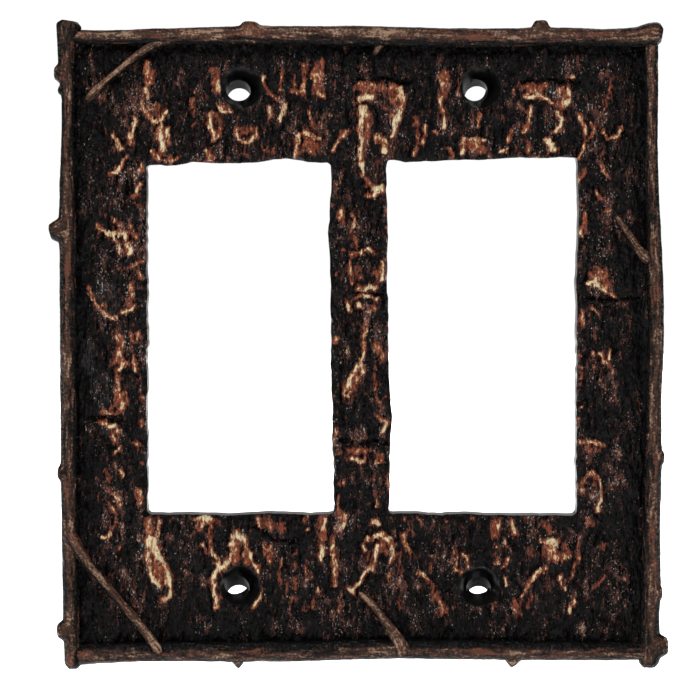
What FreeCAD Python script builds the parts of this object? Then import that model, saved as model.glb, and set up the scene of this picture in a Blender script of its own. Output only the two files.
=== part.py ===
"""Rustic two-gang rocker wall plate: a bark-faced panel framed in twigs, as a parametric FreeCAD document.

Frame: X to the right, Z up, the front faces -Y. The origin is the centre of the four-screw pattern, on
the wall plane (y = 0), so every piece lies at y < 0. Lengths are millimetres.
"""

import FreeCAD
import Part
import Sketcher
import math
import os

from FreeCAD import Placement, Rotation, Vector

# Driving dimensions, written to the spreadsheet under these aliases.
DIMENSIONS = {
    "panel_side": 56.4,  # screw-pattern centre to the panel's left and right edges
    "panel_top": 58.3,
    "panel_bottom": 61.4,
    "panel_depth": 7.0,  # wall plane to the mean bark face
    "panel_corner": 1.5,
    "opening_width": 36.2,
    "opening_height": 69.0,
    "opening_pitch": 47.5,
    "opening_corner": 1.2,
    "screw_pitch_across": 46.04,
    "screw_pitch_up": 96.84,
    "screw_bore": 4.4,
    "countersink_mouth": 8.2,
    "countersink_angle": 90.0,
    "recess_depth": 4.2,  # hollow in the back for the device straps
    "rim_width": 4.0,
    "collar_wall": 2.0,  # thickness of the lip round each opening
    "boss_radius": 5.2,
    "strap_gap": 2.0,  # lips and bosses stop this short of the wall
    "bark_relief": 0.9,  # height of the raised bark plates
    "twig_radius": 1.6,
    "twig_axis_depth": 7.5,
    "knot_radius": 1.7,
    "shoot_radius": 1.0,
    "shoot_rise": 0.6,  # height of a shoot's middle over the bark, as a share of its radius
}
SIDES = {"left": -1, "right": 1}

# Raised plates of bark: centre x, centre z, half length, half width, lean of the long axis from vertical.
BARK_PLATES = (
    (-40.9, 47.6, 3.4, 1.2, 0),
    (-38.8, 38.6, 4.0, 1.5, 0),
    (-10.1, 37.4, 2.2, 1.8, 90),
    (1.2, 42.0, 6.2, 1.9, -8),
    (21.9, 37.0, 2.0, 1.6, 90),
    (32.6, 43.0, 6.0, 1.6, -6),
    (48.0, 11.2, 3.8, 1.9, -35),
    (44.6, -29.6, 3.6, 1.9, 10),
    (-49.1, 7.2, 4.6, 2.4, 30),
    (-48.8, -11.2, 4.4, 2.6, 10),
    (-47.6, -2.8, 4.0, 1.1, 0),
    (-2.6, -8.2, 4.4, 1.1, 33),
    (-39.2, -45.8, 5.6, 1.7, -12),
    (35.4, -42.6, 3.4, 2.4, 20),
    (13.0, -50.0, 3.4, 1.0, -25),
)

# A frame twig wanders about the panel edge that it covers. Each station is the share of the way along,
# the offset outwards from that edge, and the radius as a share of twig_radius.
FRAME_STATIONS = {
    "left_frame_twig": ((0.00, -0.30, 0.95), (0.04, 0.05, 0.97), (0.12, 0.50, 0.88), (0.28, 0.62, 0.83),
                        (0.40, 0.65, 0.84), (0.52, 0.70, 0.82), (0.60, 0.60, 0.88), (0.70, 0.45, 0.98),
                        (0.77, 0.45, 0.80), (0.85, 0.20, 0.76), (0.94, 0.40, 0.88), (0.97, 0.45, 1.08),
                        (1.00, -0.20, 1.45)),
    "top_frame_twig": ((0.00, 0.40, 0.78), (0.14, 0.15, 0.80), (0.32, 0.35, 0.96), (0.50, 0.25, 1.08),
                       (0.67, -0.15, 1.03), (0.85, 0.15, 0.92), (0.94, -0.15, 0.98), (1.00, 0.35, 1.42)),
    "right_frame_twig": ((0.00, 0.00, 1.25), (0.08, 0.10, 1.18), (0.16, 0.35, 1.14), (0.28, 0.60, 1.00),
                         (0.44, 0.65, 0.92), (0.53, 1.10, 0.88), (0.69, 0.45, 0.80), (0.85, -0.20, 0.72),
                         (1.00, -0.40, 0.82)),
    "bottom_frame_twig": ((0.00, 0.85, 1.20), (0.09, 0.30, 1.06), (0.23, 0.20, 1.00), (0.41, 0.10, 1.12),
                          (0.57, -0.30, 1.00), (0.72, -0.20, 1.06), (0.86, 0.05, 1.02), (1.00, 0.10, 0.94)),
}
# Side shoots, from the root to the tip: x, z, and the radius as a share of shoot_radius.
SHOOT_STATIONS = {
    "top_left_shoot": ((-34.6, 57.7, 0.95), (-38.6, 57.2, 0.95), (-41.6, 55.6, 0.90), (-45.6, 52.6, 0.82),
                       (-49.6, 49.3, 0.72), (-53.0, 45.9, 0.60)),
    "top_spur": ((4.9, 57.8, 0.90), (3.7, 56.6, 0.70), (2.5, 54.7, 0.35)),
    "right_shoot": ((56.6, 14.8, 1.00), (54.9, 15.8, 0.90), (53.6, 17.6, 0.80), (51.7, 20.4, 0.66),
                    (49.6, 23.3, 0.55)),
    "bottom_left_shoot": ((-56.1, -40.5, 1.40), (-54.3, -43.2, 1.20), (-50.9, -47.2, 1.05),
                          (-47.6, -51.5, 1.02), (-44.6, -55.8, 1.00), (-42.1, -58.8, 1.00),
                          (-39.4, -61.5, 1.05)),
    "bottom_shoot": ((7.6, -60.2, 1.60), (5.9, -57.3, 1.10), (4.4, -55.0, 0.95), (2.4, -52.7, 0.85),
                     (0.6, -50.9, 0.78), (-0.4, -50.2, 0.70)),
}
# Frame twigs that each shoot springs from or runs over.
SHOOT_NEIGHBOURS = {
    "top_left_shoot": ("top_frame_twig",),
    "top_spur": ("top_frame_twig",),
    "right_shoot": ("right_frame_twig",),
    "bottom_left_shoot": ("left_frame_twig", "bottom_frame_twig"),
    "bottom_shoot": ("bottom_frame_twig",),
}
# Knots and cut side stubs: x, z, lean in degrees from +X, reach and radius as shares of knot_radius.
KNOTS = {
    "left_frame_twig": ((-56.8, 51.2, 180, 1.28, 0.85), (-56.9, 21.2, 193, 2.12, 1.00),
                        (-57.0, -26.3, 180, 1.10, 0.90), (-56.7, -57.0, 183, 1.60, 1.00)),
    "top_frame_twig": ((-21.3, 58.6, 88, 1.45, 1.05), (34.8, 58.4, 92, 1.82, 1.05)),
    "right_frame_twig": ((57.0, -23.2, 0, 1.25, 0.90), (56.7, -49.8, 0, 1.30, 0.95),
                         (56.5, -60.3, 0, 2.30, 1.15)),
    "bottom_frame_twig": ((-24.2, -61.5, 272, 1.97, 1.00), (29.2, -61.3, 262, 2.02, 1.00)),
}


def make_sheet(doc):
    """Write the driving dimensions into a spreadsheet whose cells carry aliases."""
    sheet = doc.addObject("Spreadsheet::Sheet", "Dims")
    for row, (alias, value) in enumerate(DIMENSIONS.items(), start=1):
        sheet.set(f"A{row}", alias)
        sheet.set(f"B{row}", str(value))
        sheet.setAlias(f"B{row}", alias)
    doc.recompute()
    return sheet


def origin_plane(body, role):
    """One of the body's own origin planes, such as XZ_Plane."""
    return next(f for f in body.Origin.OriginFeatures if f.Role == role)


def add_sketch(body, name, depth="0"):
    """Sketch facing the viewer: its x is X, its y is Z, its normal is -Y, at a depth off the wall plane."""
    sketch = body.newObject("Sketcher::SketchObject", name)
    sketch.AttachmentSupport = [(origin_plane(body, "XZ_Plane"), "")]
    sketch.MapMode = "FlatFace"
    sketch.setExpression(".AttachmentOffset.Base.z", depth)
    return sketch


def constrain(sketch, kind, arguments, expression):
    """Add a dimensional constraint and bind it to a spreadsheet expression."""
    index = sketch.addConstraint(Sketcher.Constraint(kind, *arguments))
    sketch.setExpression(f"Constraints[{index}]", expression)


def draw_box(sketch, left, right, bottom, top):
    """Four lines closed into a rectangle; each side is an expression for its place from the origin."""
    corners = [Vector(-1, -1, 0), Vector(1, -1, 0), Vector(1, 1, 0), Vector(-1, 1, 0)]
    sides = [Part.LineSegment(corners[i], corners[(i + 1) % 4]) for i in range(4)]
    first = sketch.addGeometry(sides)[0]
    for i in range(4):
        sketch.addConstraint(Sketcher.Constraint("Coincident", first + i, 2, first + (i + 1) % 4, 1))
        sketch.addConstraint(Sketcher.Constraint("Vertical" if i % 2 else "Horizontal", first + i))
    constrain(sketch, "DistanceX", (-1, 1, first, 1, -1.0), left)
    constrain(sketch, "DistanceY", (-1, 1, first, 1, -1.0), bottom)
    constrain(sketch, "DistanceX", (-1, 1, first + 2, 1, 1.0), right)
    constrain(sketch, "DistanceY", (-1, 1, first + 2, 1, 1.0), top)
    return first


def draw_opening(sketch, side, margin="0"):
    """Rectangle of the left or right rocker opening, grown by a margin."""
    centre = f"{SIDES[side]} * Dims.opening_pitch / 2"
    half = f"(Dims.opening_width / 2 + {margin})"
    high = f"Dims.opening_height / 2 + {margin}"
    return draw_box(sketch, f"{centre} - {half}", f"{centre} + {half}", f"-({high})", high)


def draw_circle(sketch, across, up, radius):
    """Circle whose centre and radius are expressions."""
    index = sketch.addGeometry(Part.Circle(Vector(1, 1, 0), Vector(0, 0, 1), 1))
    constrain(sketch, "Radius", (index, 1.0), radius)
    constrain(sketch, "DistanceX", (-1, 1, index, 3, 1.0), across)
    constrain(sketch, "DistanceY", (-1, 1, index, 3, 1.0), up)


def screw_centres():
    """Expressions for the four screw centres."""
    return [(f"{i} * Dims.screw_pitch_across / 2", f"{k} * Dims.screw_pitch_up / 2")
            for i in (-1, 1) for k in (-1, 1)]


def finished_volume(body):
    """Recompute, then the body's present volume, to prove that the last feature did something."""
    body.Document.recompute()
    return body.Shape.Volume


def add_pad(body, sketch, length):
    """Pad a sketch from its plane towards the viewer."""
    pad = body.newObject("PartDesign::Pad", sketch.Name + "_pad")
    pad.Profile = sketch
    pad.setExpression("Length", length)
    return pad


def add_pocket(body, sketch, length):
    """Pocket a sketch on the wall plane towards the viewer, and insist that it removes material."""
    before = finished_volume(body)
    pocket = body.newObject("PartDesign::Pocket", sketch.Name + "_pocket")
    pocket.Profile = sketch
    pocket.Reversed = True
    pocket.setExpression("Length", length)
    if finished_volume(body) >= before - 1.0:
        raise RuntimeError(f"{sketch.Name} cut nothing")
    return pocket


def round_upright_edges(body, name, base, chosen, radius):
    """Fillet the edges parallel to Y that the chooser accepts."""
    names = []
    for number, edge in enumerate(base.Shape.Edges, start=1):
        box = edge.BoundBox
        if box.XLength < 1e-6 and box.ZLength < 1e-6 and box.YLength > 1.0 and chosen(box):
            names.append(f"Edge{number}")
    fillet = body.newObject("PartDesign::Fillet", name)
    fillet.Base = (base, names)
    fillet.setExpression("Radius", radius)
    body.Document.recompute()
    return fillet


def make_panel(doc):
    """Cast panel: two rocker openings, a hollow back with lips and bosses, four countersunk screw holes."""
    body = doc.addObject("PartDesign::Body", "Panel")
    body.Label = "bark_panel"

    outline = add_sketch(body, "panel_outline")
    draw_box(outline, "-Dims.panel_side", "Dims.panel_side", "-Dims.panel_bottom", "Dims.panel_top")
    add_pad(body, outline, "Dims.panel_depth")

    recess = add_sketch(body, "back_recess")
    rim = "Dims.rim_width"
    draw_box(recess, f"-(Dims.panel_side - {rim})", f"Dims.panel_side - {rim}",
             f"-(Dims.panel_bottom - {rim})", f"Dims.panel_top - {rim}")
    add_pocket(body, recess, "Dims.recess_depth")

    lips = add_sketch(body, "opening_lips", "Dims.strap_gap")
    for side in SIDES:
        draw_opening(lips, side, "Dims.collar_wall")
    add_pad(body, lips, "Dims.panel_depth - Dims.strap_gap")

    bosses = add_sketch(body, "screw_bosses", "Dims.strap_gap")
    for across, up in screw_centres():
        draw_circle(bosses, across, up, "Dims.boss_radius")
    add_pad(body, bosses, "Dims.panel_depth - Dims.strap_gap")

    openings = add_sketch(body, "rocker_openings")
    for side in SIDES:
        draw_opening(openings, side)
    cut = add_pocket(body, openings, "Dims.panel_depth")

    reach = DIMENSIONS["opening_pitch"] / 2 + DIMENSIONS["opening_width"] / 2 + 0.1
    height = DIMENSIONS["opening_height"] / 2 + 0.1
    soft = round_upright_edges(
        body, "opening_corners", cut,
        lambda box: abs(box.Center.x) < reach and abs(box.Center.z) < height, "Dims.opening_corner")
    side = DIMENSIONS["panel_side"] - 0.1
    round_upright_edges(
        body, "panel_corners", soft,
        lambda box: abs(box.Center.x) > side and box.YLength > DIMENSIONS["panel_depth"] - 0.1,
        "Dims.panel_corner")

    plates = add_sketch(body, "bark_plates", "Dims.panel_depth - 0.1")
    for x, z, long, short, lean in BARK_PLATES:
        along = Vector(math.sin(-math.radians(lean)), math.cos(math.radians(lean)), 0)
        middle = Vector(x, z, 0)
        across = Vector(-along.y, along.x, 0)
        plates.addGeometry(Part.Ellipse(middle + along * long, middle + across * short, middle))
    add_pad(body, plates, "Dims.bark_relief + 0.1")
    doc.recompute()

    screws = add_sketch(body, "screw_centres", "Dims.panel_depth")
    for across, up in screw_centres():
        draw_circle(screws, across, up, "Dims.screw_bore / 2")
    before = finished_volume(body)
    hole = body.newObject("PartDesign::Hole", "screw_holes")
    hole.Profile = screws
    doc.recompute()
    hole.Threaded = False
    hole.DepthType = "ThroughAll"
    hole.setExpression("Diameter", "Dims.screw_bore")
    hole.HoleCutType = "Countersink"
    hole.HoleCutCustomValues = True
    hole.setExpression("HoleCutDiameter", "Dims.countersink_mouth")
    hole.setExpression("HoleCutCountersinkAngle", "Dims.countersink_angle * 1 deg")
    if finished_volume(body) >= before - 1.0:
        raise RuntimeError("the screw holes cut nothing")
    return body


def place_feature(feature, body, centre, rotation=Rotation()):
    """Attach a sketch or primitive to the body's own XY plane, then put it where it belongs."""
    feature.AttachmentSupport = [(origin_plane(body, "XY_Plane"), "")]
    feature.MapMode = "FlatFace"
    feature.AttachmentOffset = Placement(centre, rotation)


def make_rod(doc, name, stations, radius_alias, height):
    """Loft a round rod through stations (x, z, radius share); height is an expression for its depth."""
    body = doc.addObject("PartDesign::Body", name + "_blank")
    points = [Vector(x, 0, z) for x, z, _ in stations]
    sections = []
    for i, (x, z, share) in enumerate(stations):
        ahead = points[min(i + 1, len(points) - 1)] - points[max(i - 1, 0)]
        section = body.newObject("Sketcher::SketchObject", f"{name}_section_{i}")
        place_feature(section, body, points[i], Rotation(Vector(0, 0, 1), ahead))
        section.setExpression(".AttachmentOffset.Base.y", "-(" + height.format(share=share) + ")")
        circle = section.addGeometry(Part.Circle(Vector(0, 0, 0), Vector(0, 0, 1), 1))
        section.addConstraint(Sketcher.Constraint("Coincident", circle, 3, -1, 1))
        constrain(section, "Radius", (circle, 1.0), f"Dims.{radius_alias} * {share}")
        sections.append(section)
    loft = body.newObject("PartDesign::AdditiveLoft", name + "_loft")
    loft.Profile = sections[0]
    loft.Sections = sections[1:]
    body.Document.recompute()
    return body


def add_knots(body, name):
    """Fuse the tapered knots and cut side stubs onto a frame twig."""
    depth = DIMENSIONS["twig_axis_depth"]
    for i, (x, z, lean, reach, share) in enumerate(KNOTS[name]):
        outward = Vector(math.cos(math.radians(lean)), 0, math.sin(math.radians(lean)))
        knot = body.newObject("PartDesign::AdditiveCone", f"{name}_knot_{i}")
        place_feature(knot, body, Vector(x, -depth, z), Rotation(Vector(0, 0, 1), outward))
        knot.setExpression(".AttachmentOffset.Base.y", "-Dims.twig_axis_depth")
        knot.setExpression("Radius1", f"Dims.knot_radius * {share} * 1.25")
        knot.setExpression("Radius2", f"Dims.knot_radius * {share} * 0.6")
        knot.setExpression("Height", f"Dims.knot_radius * {reach}")
        body.Document.recompute()


def trim(doc, name, base, tools):
    """Cut the neighbours out of a piece, so that they meet face to face, and give it its node name."""
    piece = base
    for i, tool in enumerate(tools):
        cut = doc.addObject("Part::Cut", f"{name}_trim_{i}")
        cut.Base = piece
        cut.Tool = tool
        cut.Refine = False
        piece = cut
    doc.recompute()
    piece.Label = name
    return piece


def make_seat(doc):
    """Block that fills the panel's envelope, used to cut the flat seats of the twigs and shoots."""
    seat = doc.addObject("Part::Box", "Seat")
    seat.setExpression("Length", "2 * Dims.panel_side")
    seat.setExpression("Width", "Dims.panel_depth + Dims.bark_relief * 0.5")
    seat.setExpression("Height", "Dims.panel_top + Dims.panel_bottom")
    seat.setExpression(".Placement.Base.x", "-Dims.panel_side")
    seat.setExpression(".Placement.Base.y", "-Dims.panel_depth")
    seat.setExpression(".Placement.Base.z", "-Dims.panel_bottom")
    return seat


def frame_stations():
    """Turn the frame twigs' shares and offsets into x, z and radius share of each station."""
    side, top, bottom = (DIMENSIONS[key] for key in ("panel_side", "panel_top", "panel_bottom"))
    spans = {  # start and end along the run, the edge, and its outward sense
        "left_frame_twig": (-bottom - 3.4, top + 2.5, -side, -1),
        "top_frame_twig": (-side, side + 1.2, top, 1),
        "right_frame_twig": (-bottom - 2.9, top - 0.3, side, 1),
        "bottom_frame_twig": (-side + 0.8, side - 0.8, -bottom, -1),
    }
    found = {}
    for name, (start, end, edge, sense) in spans.items():
        stations = [(start + (end - start) * way, edge + sense * out, share)
                    for way, out, share in FRAME_STATIONS[name]]
        upright = name in ("left_frame_twig", "right_frame_twig")
        found[name] = [(edge_at, run, share) if upright else (run, edge_at, share)
                       for run, edge_at, share in stations]
    return found


def make_frame(doc, seat):
    """Four frame twigs, each butted against the ones laid before it."""
    butts = {
        "left_frame_twig": [],
        "top_frame_twig": ["left_frame_twig"],
        "right_frame_twig": ["top_frame_twig"],
        "bottom_frame_twig": ["left_frame_twig", "right_frame_twig"],
    }
    stations = frame_stations()
    made = {}
    for name, others in butts.items():
        blank = make_rod(doc, name, stations[name], "twig_radius", "Dims.twig_axis_depth")
        add_knots(blank, name)
        made[name] = trim(doc, name, blank, [seat] + [made[other] for other in others])
    return made


def make_shoots(doc, seat, frame):
    """Side shoots that lie on the bark and spring from a frame twig."""
    made = {}
    for name, stations in SHOOT_STATIONS.items():
        height = "Dims.panel_depth + Dims.shoot_rise * Dims.shoot_radius * {share}"
        blank = make_rod(doc, name, stations, "shoot_radius", height)
        made[name] = trim(doc, name, blank, [seat] + [frame[other] for other in SHOOT_NEIGHBOURS[name]])
    return made


def check(doc, pieces):
    """Stop on any failed object, and on any piece that is not one valid closed solid."""
    for item in doc.Objects:
        if "Invalid" in item.State or "Error" in item.State:
            raise RuntimeError(f"{item.Name} failed: {item.State}")
    for piece in pieces:
        shape = piece.Shape
        if shape.isNull() or not shape.isValid() or len(shape.Solids) != 1:
            raise RuntimeError(f"{piece.Label}: solids {len(shape.Solids)}, valid {shape.isValid()}")
        box = shape.BoundBox
        print(f"{piece.Label}: {shape.Volume:.1f} mm3, x {box.XMin:.2f}..{box.XMax:.2f}, "
              f"y {box.YMin:.2f}..{box.YMax:.2f}, z {box.ZMin:.2f}..{box.ZMax:.2f}")


def main():
    """Build the document, check it and write one STEP file for each piece."""
    doc = FreeCAD.newDocument("wall_plate")
    make_sheet(doc)
    panel = make_panel(doc)
    seat = make_seat(doc)
    frame = make_frame(doc, seat)
    shoots = make_shoots(doc, seat, frame)
    doc.recompute()
    pieces = [panel, *frame.values(), *shoots.values()]
    check(doc, pieces)
    os.makedirs("parts", exist_ok=True)
    for piece in pieces:
        piece.Shape.exportStep(os.path.join("parts", piece.Label + ".step"))


main()
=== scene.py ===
"""Rustic two-gang rocker wall plate: cast bark framed with twigs, painted dark brown and dry-brushed.

Frame: X to the right, Z up, the front faces -Y, and the wall plane is y = 0. The drawing of the bark and
twigs is in millimetres; meshes are in metres. The panel and each twig replace the node of their own name;
the splinters are raised grains of the panel's face that ride on it and replace nothing.
"""

import logging
import math
from dataclasses import dataclass, field
from enum import Enum

import bmesh
import bpy
import numpy as np
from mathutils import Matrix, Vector

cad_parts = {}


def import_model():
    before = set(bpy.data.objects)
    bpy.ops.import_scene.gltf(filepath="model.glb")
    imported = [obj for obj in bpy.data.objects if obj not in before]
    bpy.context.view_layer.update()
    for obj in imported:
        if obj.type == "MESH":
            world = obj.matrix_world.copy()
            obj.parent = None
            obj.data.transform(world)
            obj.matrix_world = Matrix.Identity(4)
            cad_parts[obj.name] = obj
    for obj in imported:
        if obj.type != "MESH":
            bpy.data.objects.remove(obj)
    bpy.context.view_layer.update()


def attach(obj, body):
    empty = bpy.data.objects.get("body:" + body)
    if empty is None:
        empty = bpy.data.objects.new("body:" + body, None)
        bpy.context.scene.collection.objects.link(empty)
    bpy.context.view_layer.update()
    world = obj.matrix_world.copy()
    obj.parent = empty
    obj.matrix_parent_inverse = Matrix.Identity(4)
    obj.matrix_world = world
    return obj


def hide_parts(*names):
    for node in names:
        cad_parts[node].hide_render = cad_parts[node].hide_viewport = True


LOG = logging.getLogger("wall_plate")
MM = 0.001
DRAWING_SHIFT = -0.6  # the drawing's middle lies this far from the screw pattern's middle, along X
FRONT_LIMIT = 9.93  # nothing stands further than this from the wall, mm

Line = tuple[float, ...]
Colour = tuple[float, float, float]
Place = tuple[float, float, float]
Socket = bpy.types.NodeSocket
Array = np.ndarray


class Paint(Enum):
    """What a stroke of the bark drawing is."""

    CREAM = "cream"
    RUST = "rust"
    PLATE = "plate"
    CRACK = "crack"


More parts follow.
